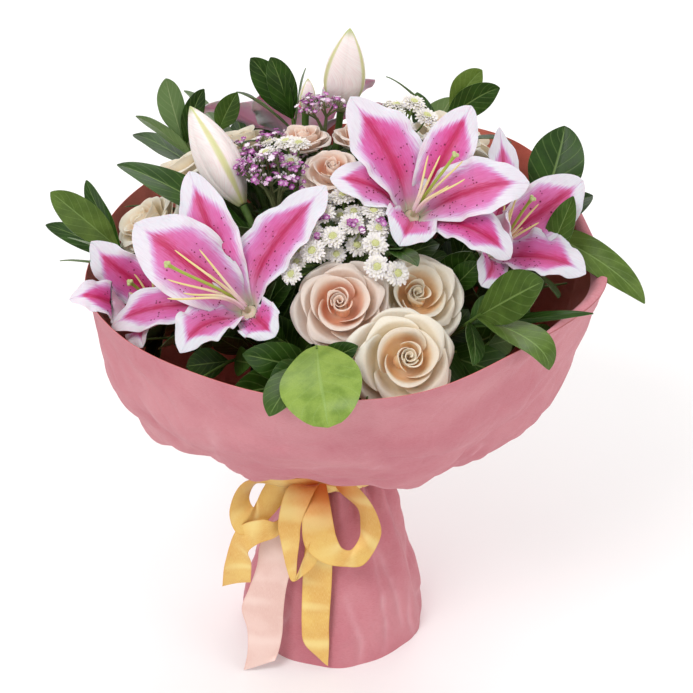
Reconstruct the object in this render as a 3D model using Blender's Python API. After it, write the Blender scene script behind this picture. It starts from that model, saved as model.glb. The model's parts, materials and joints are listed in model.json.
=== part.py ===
"""A hand-tied flower bouquet in a flared paper wrap: lilies, roses, button mums, small
violet florets and foliage, bound with twine at the waist and finished with satin ribbons.

It stands on its spiralled stems, cut level, and on the hem of the paper.
+Z is up and the front faces -Y. The origin is on the ground under the waist.
Sizes and places are in millimetres, as (right, back, up), and MM turns them into metres.
"""

import math
import random

import bmesh
import bpy
import numpy as np
from mathutils import Vector
from mathutils.bvhtree import BVHTree

for item in list(bpy.data.objects):
    bpy.data.objects.remove(item)

MM = 0.001
UP = np.array([0.0, 0.0, 1.0])

# Driving dimensions
WAIST_HEIGHT = 146.0
STEM_PITCH_GAP = 0.2
STEM_FLARE = 2.15
STEM_TWIST = math.radians(40.0)
CLEARANCE = 0.35
PAPER_THICKNESS = 0.8
PETAL_THICKNESS = 0.75
LEAF_THICKNESS = 0.8
RIBBON_THICKNESS = 0.8
TIE_HALF_HEIGHT = 4.0
TIE_RADIUS = 23.4

LILY_STEM_RADIUS = 4.2
ROSE_STEM_RADIUS = 3.0
LEAFY_STEM_RADIUS = 2.3
SPRAY_STEM_RADIUS = 2.0

placed_bodies = []


def finish(name, colour, roughness):
    """A plain material in the colour of the real surface."""
    material = bpy.data.materials.new(name)
    material.use_nodes = True
    shader = material.node_tree.nodes["Principled BSDF"]
    shader.inputs["Base Color"].default_value = (*colour, 1.0)
    shader.inputs["Roughness"].default_value = roughness
    shader.inputs["Metallic"].default_value = 0.0
    return material


def unit(vector):
    vector = np.asarray(vector, float)
    return vector / np.linalg.norm(vector)


def swell(s, peak, start, end, sharpness=1.0):
    """A width that grows from start to 1 at the peak and falls to end at the tip."""
    rising = start + (1.0 - start) * np.sin(0.5 * np.pi * np.minimum(s / peak, 1.0))
    falling = np.cos(0.5 * np.pi * np.clip((s - peak) / (1.0 - peak), 0.0, 1.0))
    return np.where(s < peak, rising, end + (1.0 - end) * np.abs(falling) ** sharpness)


def bezier(start, first, second, end, count):
    """Points along a cubic curve."""
    s = np.linspace(0.0, 1.0, count)[:, None]
    points = [np.asarray(p, float) for p in (start, first, second, end)]
    weights = ((1 - s) ** 3, 3 * s * (1 - s) ** 2, 3 * s * s * (1 - s), s**3)
    return sum(w * p for w, p in zip(weights, points))


def sheet(grid, thickness, ring=False):
    """A thin closed body whose middle surface is the grid; both faces are split alike."""
    rows, columns = grid.shape[:2]
    along = np.gradient(grid, axis=0)
    if ring:
        across = np.roll(grid, -1, axis=1) - np.roll(grid, 1, axis=1)
    else:
        across = np.gradient(grid, axis=1)
    normals = np.cross(along, across)
    normals /= np.maximum(np.linalg.norm(normals, axis=2, keepdims=True), 1e-9)
    offset = 0.5 * thickness * normals
    points = np.concatenate([(grid + offset).reshape(-1, 3), (grid - offset).reshape(-1, 3)])
    half = rows * columns
    faces = []
    last_column = columns if ring else columns - 1
    for i in range(rows - 1):
        for j in range(last_column):
            a = i * columns + j
            b = i * columns + (j + 1) % columns
            c = b + columns
            d = a + columns
            faces += [(a, d, c), (a, c, b)]
            faces += [(half + a, half + c, half + d), (half + a, half + b, half + c)]
    top = [(rows - 1) * columns + j for j in range(columns)]
    if ring:
        rims = [list(range(columns)), top[::-1]]
    else:
        right = [i * columns + columns - 1 for i in range(1, rows)]
        left = [i * columns for i in range(rows - 2, 0, -1)]
        rims = [list(range(columns)) + right + top[-2::-1] + left]
    for rim in rims:
        for p, q in zip(rim, rim[1:] + rim[:1]):
            faces += [(p, q, half + q), (p, half + q, half + p)]
    return points, faces


def faces_of(grid, thickness):
    """The outer and inner face of a ring of petals, from its middle surface."""
    along = np.gradient(grid, axis=0)
    across = np.roll(grid, -1, axis=1) - np.roll(grid, 1, axis=1)
    normals = np.cross(along, across)
    normals /= np.maximum(np.linalg.norm(normals, axis=2, keepdims=True), 1e-9)
    return grid - 0.5 * thickness * normals, grid + 0.5 * thickness * normals


def blade(spine, widths, face, thickness, fold=0.0, cup=None, wave=0.0):
    """A petal or leaf along a spine; face is the way that its upper side looks."""
    spine = np.asarray(spine, float)
    tangents = np.gradient(spine, axis=0)
    tangents /= np.linalg.norm(tangents, axis=1, keepdims=True)
    s = np.linspace(0.0, 1.0, len(spine))
    cup = np.zeros(len(spine)) if cup is None else cup
    grid = np.zeros((len(spine), 3, 3))
    for i, tangent in enumerate(tangents):
        normal = unit(face - np.dot(face, tangent) * tangent)
        side = np.cross(tangent, normal)
        for j, v in enumerate((-1.0, 0.0, 1.0)):
            ripple = wave * math.sin(3 * math.pi * s[i] + 1.3 * v) * abs(v)
            lift = fold * abs(v) + cup[i] * v * v + ripple
            grid[i, j] = spine[i] + widths[i] * (v * side + lift * normal)
    return sheet(grid, thickness)


def tube(path, radii, sides, flat_foot=False, crown=None):
    """A closed round stem along a path; a crown is its top's middle and the tips of its sepals."""
    path = np.asarray(path, float)
    radii = np.broadcast_to(np.asarray(radii, float), (len(path),))
    tangents = np.gradient(path, axis=0)
    tangents /= np.linalg.norm(tangents, axis=1, keepdims=True)
    reference = np.array([1.0, 0.0, 0.0]) if abs(tangents[0][0]) < 0.8 else np.array([0.0, 1.0, 0.0])
    points = []
    for i, tangent in enumerate(tangents):
        reference = unit(reference - np.dot(reference, tangent) * tangent)
        other = np.cross(tangent, reference)
        for k in range(sides):
            angle = 2 * math.pi * k / sides
            ring = math.cos(angle) * reference + math.sin(angle) * other
            point = path[i] + radii[i] * ring
            if flat_foot and i == 0:
                point[2] = path[0][2]
            points.append(point)
    faces = []
    for i in range(len(path) - 1):
        for k in range(sides):
            a = i * sides + k
            b = i * sides + (k + 1) % sides
            faces += [(a, b, b + sides), (a, b + sides, a + sides)]
    last = (len(path) - 1) * sides
    faces += [(0, k + 1, k) for k in range(1, sides - 1)]
    if crown is None:
        faces += [(last, last + k, last + k + 1) for k in range(1, sides - 1)]
        return np.array(points), faces
    middle, reach, droop, axis = crown
    top = len(points)
    points.append(middle)
    for k in range(sides):
        between = 0.5 * (points[last + k] + points[last + (k + 1) % sides]) - path[-1]
        out = unit(between - np.dot(between, axis) * axis)
        points.append(path[-1] + reach * out - droop * axis)
        h, g, tip = last + k, last + (k + 1) % sides, top + 1 + k
        faces += [(top, h, tip), (top, tip, g), (h, g, tip)]
    return np.array(points), faces


def mesh_object(name, shape):
    points, faces = shape
    mesh = bpy.data.meshes.new(name)
    mesh.from_pydata([tuple(p) for p in np.asarray(points) * MM], [], faces)
    edit = bmesh.new()
    edit.from_mesh(mesh)
    bmesh.ops.recalc_face_normals(edit, faces=edit.faces)
    edit.to_mesh(mesh)
    edit.free()
    obj = bpy.data.objects.new(name, mesh)
    bpy.context.scene.collection.objects.link(obj)
    return obj


def largest_body(mesh):
    """Keeps the biggest connected body of a fused mesh, and drops loose scraps."""
    edit = bmesh.new()
    edit.from_mesh(mesh)
    bmesh.ops.triangulate(edit, faces=edit.faces)
    bmesh.ops.dissolve_degenerate(edit, dist=1e-6, edges=edit.edges)
    bmesh.ops.triangulate(edit, faces=edit.faces)
    left = set(edit.verts)
    groups = []
    while left:
        stack = [left.pop()]
        group = set(stack)
        while stack:
            for edge in stack.pop().link_edges:
                for vert in edge.verts:
                    if vert in left:
                        left.discard(vert)
                        group.add(vert)
                        stack.append(vert)
        groups.append(group)
    biggest = max(groups, key=len)
    loose = [vert for vert in edit.verts if vert not in biggest]
    bmesh.ops.delete(edit, geom=loose, context="VERTS")
    edit.to_mesh(mesh)
    edit.free()


def node(name, shapes, material):
    """One named body: its shapes joined by a union where there are several."""
    pieces = [mesh_object(f"{name}_piece", shape) for shape in shapes]
    body = pieces[0]
    if len(pieces) > 1:
        helpers = bpy.data.collections.new(f"{name}_pieces")
        bpy.context.scene.collection.children.link(helpers)
        for piece in pieces[1:]:
            bpy.context.scene.collection.objects.unlink(piece)
            helpers.objects.link(piece)
        union = body.modifiers.new("Union", "BOOLEAN")
        union.operation = "UNION"
        union.operand_type = "COLLECTION"
        union.collection = helpers
        graph = bpy.context.evaluated_depsgraph_get()
        joined = bpy.data.meshes.new_from_object(body.evaluated_get(graph))
        body.modifiers.remove(union)
        body.data = joined
        for piece in pieces[1:]:
            bpy.data.objects.remove(piece)
        bpy.data.collections.remove(helpers)
        largest_body(joined)
    body.name = name
    body.data.name = name
    body.data.materials.clear()
    body.data.materials.append(material)
    remember(body)
    return body


def remember(obj):
    """Keeps the body's surface, so that later leaves and stems can be bent clear of it."""
    points = [vert.co / MM for vert in obj.data.vertices]
    faces = [tuple(face.vertices) for face in obj.data.polygons]
    placed_bodies.append(BVHTree.FromPolygons(points, faces))


def is_clear(shape):
    """True where a shape crosses no body placed so far."""
    points, faces = shape
    tree = BVHTree.FromPolygons([Vector(p) for p in points], faces)
    return not any(tree.overlap(other) for other in placed_bodies)


# Colours from the photograph
PAPER = finish("dusty_pink_paper", (0.62, 0.27, 0.30), 0.75)
TWINE = finish("jute_twine", (0.45, 0.33, 0.18), 0.9)
YELLOW_SATIN = finish("yellow_satin", (0.85, 0.48, 0.09), 0.35)
BLUSH_SATIN = finish("blush_satin", (0.86, 0.66, 0.57), 0.35)
LILY_PINK = finish("magenta_lily", (0.75, 0.13, 0.38), 0.5)
LILY_GREEN = finish("pale_green_style", (0.62, 0.66, 0.30), 0.5)
BUD_CREAM = finish("cream_bud", (0.80, 0.66, 0.60), 0.5)
ROSE_CREAM = finish("cream_rose", (0.84, 0.72, 0.58), 0.55)
ROSE_PEACH = finish("peach_rose", (0.84, 0.62, 0.50), 0.55)
MUM_WHITE = finish("white_button_mum", (0.80, 0.80, 0.66), 0.6)
VIOLET = finish("violet_floret", (0.55, 0.22, 0.50), 0.6)
STEM_GREEN = finish("stem_green", (0.12, 0.20, 0.06), 0.55)
LEAF_GREEN = finish("leaf_green", (0.08, 0.22, 0.04), 0.4)


# The flowers: where each one stands and the way it looks
LILIES = {
    "front_left": {
        "base": (-60, -90, 326),
        "axis": (-0.40, -0.44, 0.80),
        "style": (-55, -31, 59),
        "tepals": [
            ((-141, -65, 385), 23, 0.5),
            ((-103, -46, 416), 16, 0.3),
            ((-8, -50, 407), 20, 0.3),
            ((-164, -78, 306), 14, 0.9),
            ((-107, -140, 326), 17, 0.9),
            ((-42, -138, 338), 13, 0.9),
        ],
    },
    "front_right": {
        "base": (52, -28, 368),
        "axis": (0.25, -0.46, 0.84),
        "style": (30, -12, 58),
        "tepals": [
            ((9, 0, 451), 22, 0.2),
            ((95, 10, 439), 15, 0.4),
            ((135, -35, 401), 20, 0.6),
            ((-5, -45, 410), 15, 0.9),
            ((43, -84, 378), 16, 1.0),
            ((121, -70, 360), 15, 1.0),
        ],
    },
    "right": {
        "base": (104, -14, 332),
        "axis": (0.62, -0.40, 0.67),
        "style": (34, -16, 54),
        "tepals": [
            ((117, 30, 412), 14, 0.3),
            ((178, 12, 378), 18, 0.4),
            ((177, -47, 334), 20, 0.4),
            ((101, -74, 340), 13, 0.9),
            ((118, -54, 384), 11, 0.4),
        ],
    },
    "left": {
        "base": (-114, -42, 296),
        "axis": (-0.72, -0.36, 0.60),
        "style": (-33, -20, 40),
        "tepals": [
            ((-177, -25, 348), 16, 0.3),
            ((-190, -66, 324), 13, 0.8),
            ((-136, -104, 308), 15, 0.7),
            ((-122, -15, 356), 12, 0.1),
        ],
    },
    "back": {
        "base": (-30, 122, 334),
        "axis": (-0.12, 0.66, 0.74),
        "style": (-10, 40, 50),
        "tepals": [
            ((-58, 98, 405), 16, 0.2),
            ((28, 138, 398), 20, 0.5),
            ((52, 168, 352), 15, 0.7),
            ((-30, 196, 350), 19, 0.8),
            ((-106, 168, 352), 16, 0.7),
            ((-104, 118, 384), 20, 0.5),
        ],
    },
}
BUDS = {
    "left": ((-69, 5, 362), (-107, 40, 424), 16.0),
    "top": ((2, 98, 392), (9, 85, 465), 15.0),
    "small": ((-24, 84, 398), (-22, 82, 426), 6.0),
}
LILY_STEMS = {
    "left": ((-50, -34, 236), ["front_left", "left"], ["left"]),
    "right": ((44, -12, 250), ["front_right", "right"], []),
    "back": ((-10, 62, 262), ["back"], ["top", "small"]),
}
ROSES = {
    "front_left": ((4, -118, 352), (0.00, -0.72, 0.69), 33.0, 3, 0.2),
    "front_right": ((61, -93, 347), (0.22, -0.62, 0.75), 31.0, 3, 1.1),
    "front": ((46, -154, 331), (0.12, -0.78, 0.62), 35.0, 3, 2.4),
    "centre": ((-5, 0, 398), (-0.02, -0.30, 0.95), 22.0, 2, 0.7),
    "centre_left": ((-25, 42, 404), (-0.10, 0.05, 0.99), 19.0, 2, 0.1),
    "centre_back": ((15, 50, 402), (0.08, 0.10, 0.99), 19.0, 2, 1.9),
    "left": ((-146, 12, 351), (-0.62, -0.08, 0.78), 27.0, 2, 0.5),
    "back_left": ((-119, 62, 371), (-0.45, 0.22, 0.86), 24.0, 2, 1.4),
    "right_back": ((84, 60, 403), (0.25, 0.15, 0.96), 26.0, 2, 2.0),
    "middle_left": ((-73, 75, 387), (-0.25, 0.25, 0.93), 22.0, 2, 0.9),
    "back_right": ((98, 122, 362), (0.45, 0.60, 0.66), 29.0, 2, 2.8),
}
LILY_LEAVES = {"left": [((-58, -7, 340), (-154, 20, 397), 16)]}
PEACH_ROSES = ("front_left", "centre", "centre_left", "centre_back")

# Lily: its cup, then how each tepal leaves the cup and arrives at its tip
LILY_CUP_RADIUS = 6.0
LILY_CUP_END_RADIUS = 3.0
LILY_THROAT_HEIGHT = 5.5
LILY_ROOT_FOOT = 4.7
LILY_ROOT_TOP = 6.3
LILY_CUP_HEIGHT = 10.0
LILY_WIDE_GAP = math.radians(85.0)
LILY_ROOT_SPREAD = math.radians(60.0)
TEPAL_ROWS_FRONT = 6
TEPAL_ROWS = 5
TEPAL_START_UP = 0.80
TEPAL_START_OUT = 0.45
TEPAL_START_PULL = 0.42
TEPAL_END_OUT = 0.25
TEPAL_END_PULL = 0.36
TEPAL_LAP = 1.4
TEPAL_WIDEST_AT = 0.55
TEPAL_ROOT_WIDTH = 0.09
TEPAL_TIP_ROUNDNESS = 0.8
TEPAL_TIP_HALF_WIDTH = 1.0
TEPAL_CUP_AT_ROOT = 0.42
TEPAL_CUP_AT_TIP = 0.04
TEPAL_FOLD = 0.10
TEPAL_WAVE = 0.10


def lily(name, flower):
    """Tepals grown out of the side of one small cup, as one closed surface."""
    base = np.array(flower["base"], float)
    axis = unit(flower["axis"])
    right = unit(np.cross(axis, UP))
    back = np.cross(axis, right)
    throat = base + LILY_THROAT_HEIGHT * axis
    rows = TEPAL_ROWS_FRONT if name.startswith("front") else TEPAL_ROWS
    s = np.linspace(0.0, 1.0, rows)
    blades = []
    for k, (tip, half_width, curl) in enumerate(flower["tepals"]):
        tip = np.array(tip, float)
        chord = tip - throat
        length = np.linalg.norm(chord)
        radial = unit(chord - np.dot(chord, axis) * axis)
        start = throat + LILY_CUP_RADIUS * radial
        leaving = unit(TEPAL_START_UP * axis + TEPAL_START_OUT * radial)
        arriving = unit(chord / length - curl * axis + TEPAL_END_OUT * radial)
        first = start + TEPAL_START_PULL * length * leaving
        second = tip - TEPAL_END_PULL * length * arriving
        spine = bezier(start, first, second, tip, rows)
        inward = -TEPAL_LAP if k % 2 else TEPAL_LAP
        spine[1:] -= inward * radial * np.sin(np.pi * s[1:, None]) ** 0.5
        shares = swell(s, TEPAL_WIDEST_AT, TEPAL_ROOT_WIDTH, 0.0, TEPAL_TIP_ROUNDNESS)
        widths = np.maximum(half_width * shares, TEPAL_TIP_HALF_WIDTH)
        cup = TEPAL_CUP_AT_ROOT * (1 - s) ** 1.5 + TEPAL_CUP_AT_TIP
        turn = math.atan2(np.dot(radial, back), np.dot(radial, right))
        shape = blade(spine, widths, axis, PETAL_THICKNESS, fold=TEPAL_FOLD, cup=cup, wave=TEPAL_WAVE)
        blades.append((turn, shape))
    blades.sort(key=lambda item: item[0])

    def ring(turns, radius, height):
        return [base + height * axis + radius * (math.cos(t) * right + math.sin(t) * back) for t in turns]

    turns = []
    roots = []
    for k, (turn, _) in enumerate(blades):
        before = (turn - blades[k - 1][0]) % (2 * math.pi)
        after = (blades[(k + 1) % len(blades)][0] - turn) % (2 * math.pi)
        if before > LILY_WIDE_GAP:
            turns.append(turn - 0.5 * LILY_ROOT_SPREAD)
            first = len(turns) - 1
        else:
            first = len(turns) - 1
        turns.append(turn)
        turns.append(turn + 0.5 * (after if after <= LILY_WIDE_GAP else LILY_ROOT_SPREAD))
        roots.append([first, first + 1, first + 2])
    count = len(turns)
    roots = [[place % count for place in root] for root in roots]
    points = ring(turns, LILY_CUP_END_RADIUS, 0.0) + ring(turns, LILY_CUP_RADIUS, LILY_ROOT_FOOT)
    points += ring(turns, LILY_CUP_RADIUS, LILY_ROOT_TOP) + ring(turns, LILY_CUP_END_RADIUS, LILY_CUP_HEIGHT)
    faces = [(0, k + 1, k) for k in range(1, count - 1)]
    faces += [(3 * count, 3 * count + k, 3 * count + k + 1) for k in range(1, count - 1)]
    covered = {root[0] for root in roots} | {root[1] for root in roots}
    for level in range(3):
        for k in range(count):
            if level == 1 and k in covered:
                continue
            a = level * count + k
            b = level * count + (k + 1) % count
            faces += [(a, b, b + count), (a, b + count, a + count)]
    for (_, (shape, shape_faces)), root in zip(blades, roots):
        half = len(shape) // 2
        columns = half // rows
        from_first = np.linalg.norm(shape[0] - points[count + root[0]])
        from_last = np.linalg.norm(shape[0] - points[count + root[2]])
        ends = root if from_first < from_last else root[::-1]
        place = {}
        for column in range(columns):
            place[column] = count + ends[column]
            place[half + column] = 2 * count + ends[column]
        first_row = set(place)
        for index in range(len(shape)):
            if index not in first_row:
                place[index] = len(points)
                points.append(shape[index])
        faces += [tuple(place[v] for v in face) for face in shape_faces if not set(face) <= first_row]
    node(f"lily_{name}_tepals", [(np.array(points), faces)], LILY_PINK)


# Style and filaments: radii along each, how far a filament stands off and where it ends, as shares
# of the style's length
HEART_LENGTH = 5.0
HEART_RADII = (2.8, 2.6)
STYLE_RADII = (1.3, 1.0, 1.0, 1.7)
STIGMA_RADIUS = 3.4
STIGMA_RISE = 0.8
STIGMA_DROOP = 0.2
FILAMENT_RADII = (0.8, 0.8, 0.5)
FILAMENT_FOOT = 1.8
FILAMENT_SPREAD = 0.23
FILAMENT_REACH = 0.86
FILAMENT_REACH_STEP = 0.05
FILAMENT_TURN = 25.0


def lily_heart(name, flower):
    """The style, with its three-lobed stigma, and six filaments, all from one small base."""
    base = np.array(flower["base"], float)
    axis = unit(flower["axis"])
    root = base + (LILY_CUP_HEIGHT + CLEARANCE) * axis
    style = np.array(flower["style"], float)
    length = np.linalg.norm(style)
    aim = style / length
    right = unit(np.cross(aim, UP))
    back = np.cross(right, aim)
    shapes = [tube([root, root + HEART_LENGTH * axis], HEART_RADII, 5)]
    end = base + style
    curve = bezier(root + 2 * axis, root + 0.35 * length * axis, end - 0.3 * length * aim, end, 4)
    crown = (end + STIGMA_RISE * aim, STIGMA_RADIUS, STIGMA_DROOP, aim)
    shapes.append(tube(curve, STYLE_RADII, 3, crown=crown))
    for k in range(6):
        angle = math.radians(60 * k + FILAMENT_TURN)
        spread = FILAMENT_SPREAD * length * (math.cos(angle) * right + math.sin(angle) * back)
        reach = (FILAMENT_REACH - FILAMENT_REACH_STEP * (k % 3)) * length
        tip = base + reach * aim + spread
        start = root + 0.5 * HEART_LENGTH * axis + FILAMENT_FOOT * unit(spread)
        curve = bezier(start, start + 0.40 * reach * axis, tip - 0.30 * reach * unit(tip - start), tip, 3)
        shapes.append(tube(curve, FILAMENT_RADII, 3))
    node(f"lily_{name}_style_and_filaments", shapes, LILY_GREEN)


BUD_RINGS = 7
BUD_SIDES = 6
BUD_WIDEST_AT = 0.42
BUD_ROOT_WIDTH = 0.22
BUD_TIP_ROUNDNESS = 0.8
BUD_TIP_WIDTH = 0.07
BUD_RIDGE = 0.10


def bud(name, base, tip, radius):
    """A closed lily bud: six tepals folded edge to edge, so its section has three soft ridges."""
    base = np.array(base, float)
    tip = np.array(tip, float)
    axis = unit(tip - base)
    length = np.linalg.norm(tip - base)
    right = unit(np.cross(axis, UP))
    back = np.cross(right, axis)
    rings = BUD_RINGS
    sides = BUD_SIDES
    points = []
    for i in range(rings):
        s = i / (rings - 1)
        share = swell(np.array(s), BUD_WIDEST_AT, BUD_ROOT_WIDTH, 0.0, BUD_TIP_ROUNDNESS)
        reach = radius * max(float(share), BUD_TIP_WIDTH)
        for k in range(sides):
            angle = 2 * math.pi * k / sides
            ridge = 1.0 + BUD_RIDGE * math.cos(3 * angle)
            out = math.cos(angle) * right + math.sin(angle) * back
            points.append(base + s * length * axis + reach * ridge * out)
    faces = []
    for i in range(rings - 1):
        for k in range(sides):
            a = i * sides + k
            b = i * sides + (k + 1) % sides
            faces += [(a, b, b + sides), (a, b + sides, a + sides)]
    last = (rings - 1) * sides
    faces += [(0, k + 1, k) for k in range(1, sides - 1)]
    faces += [(last, last + k, last + k + 1) for k in range(1, sides - 1)]
    node(f"lily_bud_{name}", [(np.array(points), faces)], BUD_CREAM)


# Rose petals by layer, from the outside in: base radius and height, middle radius, rim radius
# and height, all as shares of the rose's radius
ROSE_LAYERS = (
    (0.15, 0.08, 0.72, 0.98, 0.56),
    (0.13, 0.20, 0.47, 0.50, 0.78),
    (0.10, 0.32, 0.26, 0.23, 0.86),
)
ROSE_HEIGHT = 0.86
# A rose's rings from the outside in: layer, petals, rows of points
FULL_ROSE = ((0, 5, 4), (1, 5, 3), (2, 3, 3))
FULL_ROSE_COLUMNS = 15
SMALL_ROSE = ((0, 4, 3), (2, 3, 3))
SMALL_ROSE_COLUMNS = 12
PETAL_SPAN = 0.94
PETAL_LAP = 0.055
PETAL_SIDE_DIP = 0.26
PETAL_CROWNING = 0.30
# The hip under the petals and the furled bud in the middle: radius and height
ROSE_FOOT = (0.12, 0.0)
ROSE_BUD = ((0.09, 0.45), (0.07, 0.78))
ROSE_BUD_TOP = 0.84


def rose_layer(frame, radius, layer, petals, phase, columns, rows):
    """The middle surface of one ring of petals; each laps over the next, so the ring steps."""
    base, axis, right, back = frame
    inner, low, middle, rim, height = layer
    pull = 2 * middle - 0.5 * (inner + rim)
    each = columns // petals
    grid = np.zeros((rows, columns, 3))
    for i in range(rows):
        s = i / (rows - 1)
        reach = (1 - s) ** 2 * inner + 2 * s * (1 - s) * pull + s * s * rim
        rise = low + (height - low) * ((1 + PETAL_CROWNING) * s - PETAL_CROWNING * s * s)
        for j in range(columns):
            v = PETAL_SPAN * (2 * (j % each) / (each - 1) - 1)
            angle = phase + (2 * math.pi * (j // each) + v * math.pi) / petals
            shingle = PETAL_LAP * v * min(2.0 * s, 1.0)
            dip = PETAL_SIDE_DIP * v * v * s * s * height
            around = math.cos(angle) * right + math.sin(angle) * back
            grid[i, j] = base + radius * ((reach + shingle) * around + (rise - dip) * axis)
    return grid


def rose(name, heart, axis, radius, layers, phase):
    """One closed surface that runs up and down over each ring of petals, in to the furled bud."""
    axis = unit(axis)
    base = np.array(heart, float) - ROSE_HEIGHT * radius * axis
    right = unit(np.cross(axis, [0.2, 0.9, 0.4]))
    back = np.cross(axis, right)
    frame = (base, axis, right, back)
    chosen = FULL_ROSE if layers == 3 else SMALL_ROSE
    columns = FULL_ROSE_COLUMNS if layers == 3 else SMALL_ROSE_COLUMNS

    def ring(reach, rise):
        turns = [phase + 2 * math.pi * j / columns for j in range(columns)]
        out = [math.cos(t) * right + math.sin(t) * back for t in turns]
        return [base + radius * (reach * way + rise * axis) for way in out]

    rings = [ring(*ROSE_FOOT)]
    for level, (row, petals, rows) in enumerate(chosen):
        shift = level % 2
        turn = phase + shift * (math.pi / petals - 2 * math.pi / columns)
        grid = rose_layer(frame, radius, ROSE_LAYERS[row], petals, turn, columns, rows)
        grid = np.roll(grid, -shift, axis=1)
        outer, inner = faces_of(grid, PETAL_THICKNESS)
        rings += list(outer) + list(inner[::-1])
    rings += [ring(*row) for row in ROSE_BUD]
    points = [base] + [p for r in rings for p in r] + [base + ROSE_BUD_TOP * radius * axis]
    faces = []
    for i in range(len(rings) - 1):
        for j in range(columns):
            a = 1 + i * columns + j
            b = 1 + i * columns + (j + 1) % columns
            faces += [(a, b, b + columns), (a, b + columns, a + columns)]
    last = 1 + (len(rings) - 1) * columns
    for j in range(columns):
        faces.append((0, 1 + (j + 1) % columns, 1 + j))
        faces.append((len(points) - 1, last + j, last + (j + 1) % columns))
    material = ROSE_PEACH if name in PEACH_ROSES else ROSE_CREAM
    node(f"rose_{name}_bloom", [(np.array(points), faces)], material)


# Stems: how full the tie is packed, how they lean out above it, and the hip and sepals of a rose
PACKED_SHARE = 0.80
PACKING_ROUNDS = 400
PACKING_SQUEEZE = 0.997
LEAN_AT_TIE = 0.45
HIP_HEIGHT = 3.2
HIP_RADIUS = 4.2
ROSE_NECK = 11.0
SEPAL_REACH = 17.0
SEPAL_DROOP = 9.0
PEDICEL_RADII = (3.4, 3.0, 2.8, 2.6, 2.8)
PEDICEL_START_PULL = 0.4
PEDICEL_END_PULL = 0.35
FORK_OVERLAP = 5.0


def packed_at_waist(heads):
    """Where each stem passes through the tie: spread by the way that its head lies, then eased apart."""
    names = list(heads)
    reach = {n: math.hypot(*heads[n][0][:2]) for n in names}
    order = sorted(names, key=lambda n: reach[n])
    area = sum((heads[n][1] + 0.5 * STEM_PITCH_GAP) ** 2 for n in names)
    bundle = math.sqrt(area / PACKED_SHARE)
    spots = {}
    for rank, name in enumerate(order):
        x, y = heads[name][0][:2]
        radius = bundle * math.sqrt((rank + 0.5) / len(order))
        spots[name] = radius * unit([x, y])
    for _ in range(PACKING_ROUNDS):
        for a in names:
            for b in names:
                if a >= b:
                    continue
                apart = spots[b] - spots[a]
                distance = max(np.linalg.norm(apart), 1e-6)
                wanted = heads[a][1] + heads[b][1] + STEM_PITCH_GAP
                if distance < wanted:
                    push = 0.5 * (wanted - distance) * apart / distance
                    spots[a] = spots[a] - push
                    spots[b] = spots[b] + push
        for name in names:
            spots[name] = spots[name] * PACKING_SQUEEZE
    return spots


def stem_below_waist(spot):
    """The stem from its level cut up to the tie: the bundle turns and opens out downwards."""
    path = []
    for down in (1.0, 0.5):
        scale = 1 + (STEM_FLARE - 1) * down
        turn = STEM_TWIST * down
        x = scale * (math.cos(turn) * spot[0] - math.sin(turn) * spot[1])
        y = scale * (math.sin(turn) * spot[0] + math.cos(turn) * spot[1])
        path.append((x, y, WAIST_HEIGHT * (1 - down)))
    path.append((spot[0], spot[1], WAIST_HEIGHT - TIE_HALF_HEIGHT))
    path.append((spot[0], spot[1], WAIST_HEIGHT + TIE_HALF_HEIGHT))
    return path


def stem_above_waist(spot, end, steps):
    """The stem from the tie to its head: upright in the tie, then leaning out."""
    tied = WAIST_HEIGHT + TIE_HALF_HEIGHT
    path = []
    for k in range(1, steps + 1):
        u = k / steps
        out = LEAN_AT_TIE * u + (1 - LEAN_AT_TIE) * u * u
        x = spot[0] + (end[0] - spot[0]) * out
        y = spot[1] + (end[1] - spot[1]) * out
        path.append((x, y, tied + (end[2] - tied) * u))
    return path


def rose_stem(name, heart, axis, radius, spot):
    """Stem, hip and five drooping sepals, grown as one."""
    axis = unit(axis)
    top = np.array(heart, float) - (ROSE_HEIGHT * radius + CLEARANCE) * axis
    brim = top - HIP_HEIGHT * axis
    neck = top - ROSE_NECK * axis
    path = stem_below_waist(spot) + stem_above_waist(spot, neck, 3) + [brim]
    radii = [ROSE_STEM_RADIUS] * (len(path) - 1) + [HIP_RADIUS]
    crown = (top, SEPAL_REACH, SEPAL_DROOP, axis)
    node(f"rose_{name}_stem", [tube(path, radii, 5, flat_foot=True, crown=crown)], STEM_GREEN)


def lily_stem(name, fork, flowers, buds, spot):
    """One upright lily stem, forked into a pedicel for each flower and bud."""
    fork = np.array(fork, float)
    path = stem_below_waist(spot) + stem_above_waist(spot, fork, 2)
    shapes = [tube(path, LILY_STEM_RADIUS, 6, flat_foot=True)]
    ends = [(np.array(LILIES[f]["base"], float), unit(LILIES[f]["axis"])) for f in flowers]
    for b in buds:
        base, tip, _ = BUDS[b]
        ends.append((np.array(base, float), unit(np.array(tip, float) - np.array(base, float))))
    for base, axis in ends:
        top = base - 2 * CLEARANCE * axis
        reach = np.linalg.norm(top - fork)
        below = fork - FORK_OVERLAP * UP
        first = below + PEDICEL_START_PULL * reach * UP
        second = top - PEDICEL_END_PULL * reach * axis
        curve = bezier(below, first, second, top, len(PEDICEL_RADII))
        shapes.append(tube(curve, PEDICEL_RADII, 4))
    for base, tip, half_width in LILY_LEAVES.get(name, []):
        shapes += clear_leaf(base, tip, half_width)
    node(f"lily_stem_{name}", shapes, STEM_GREEN)


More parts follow.
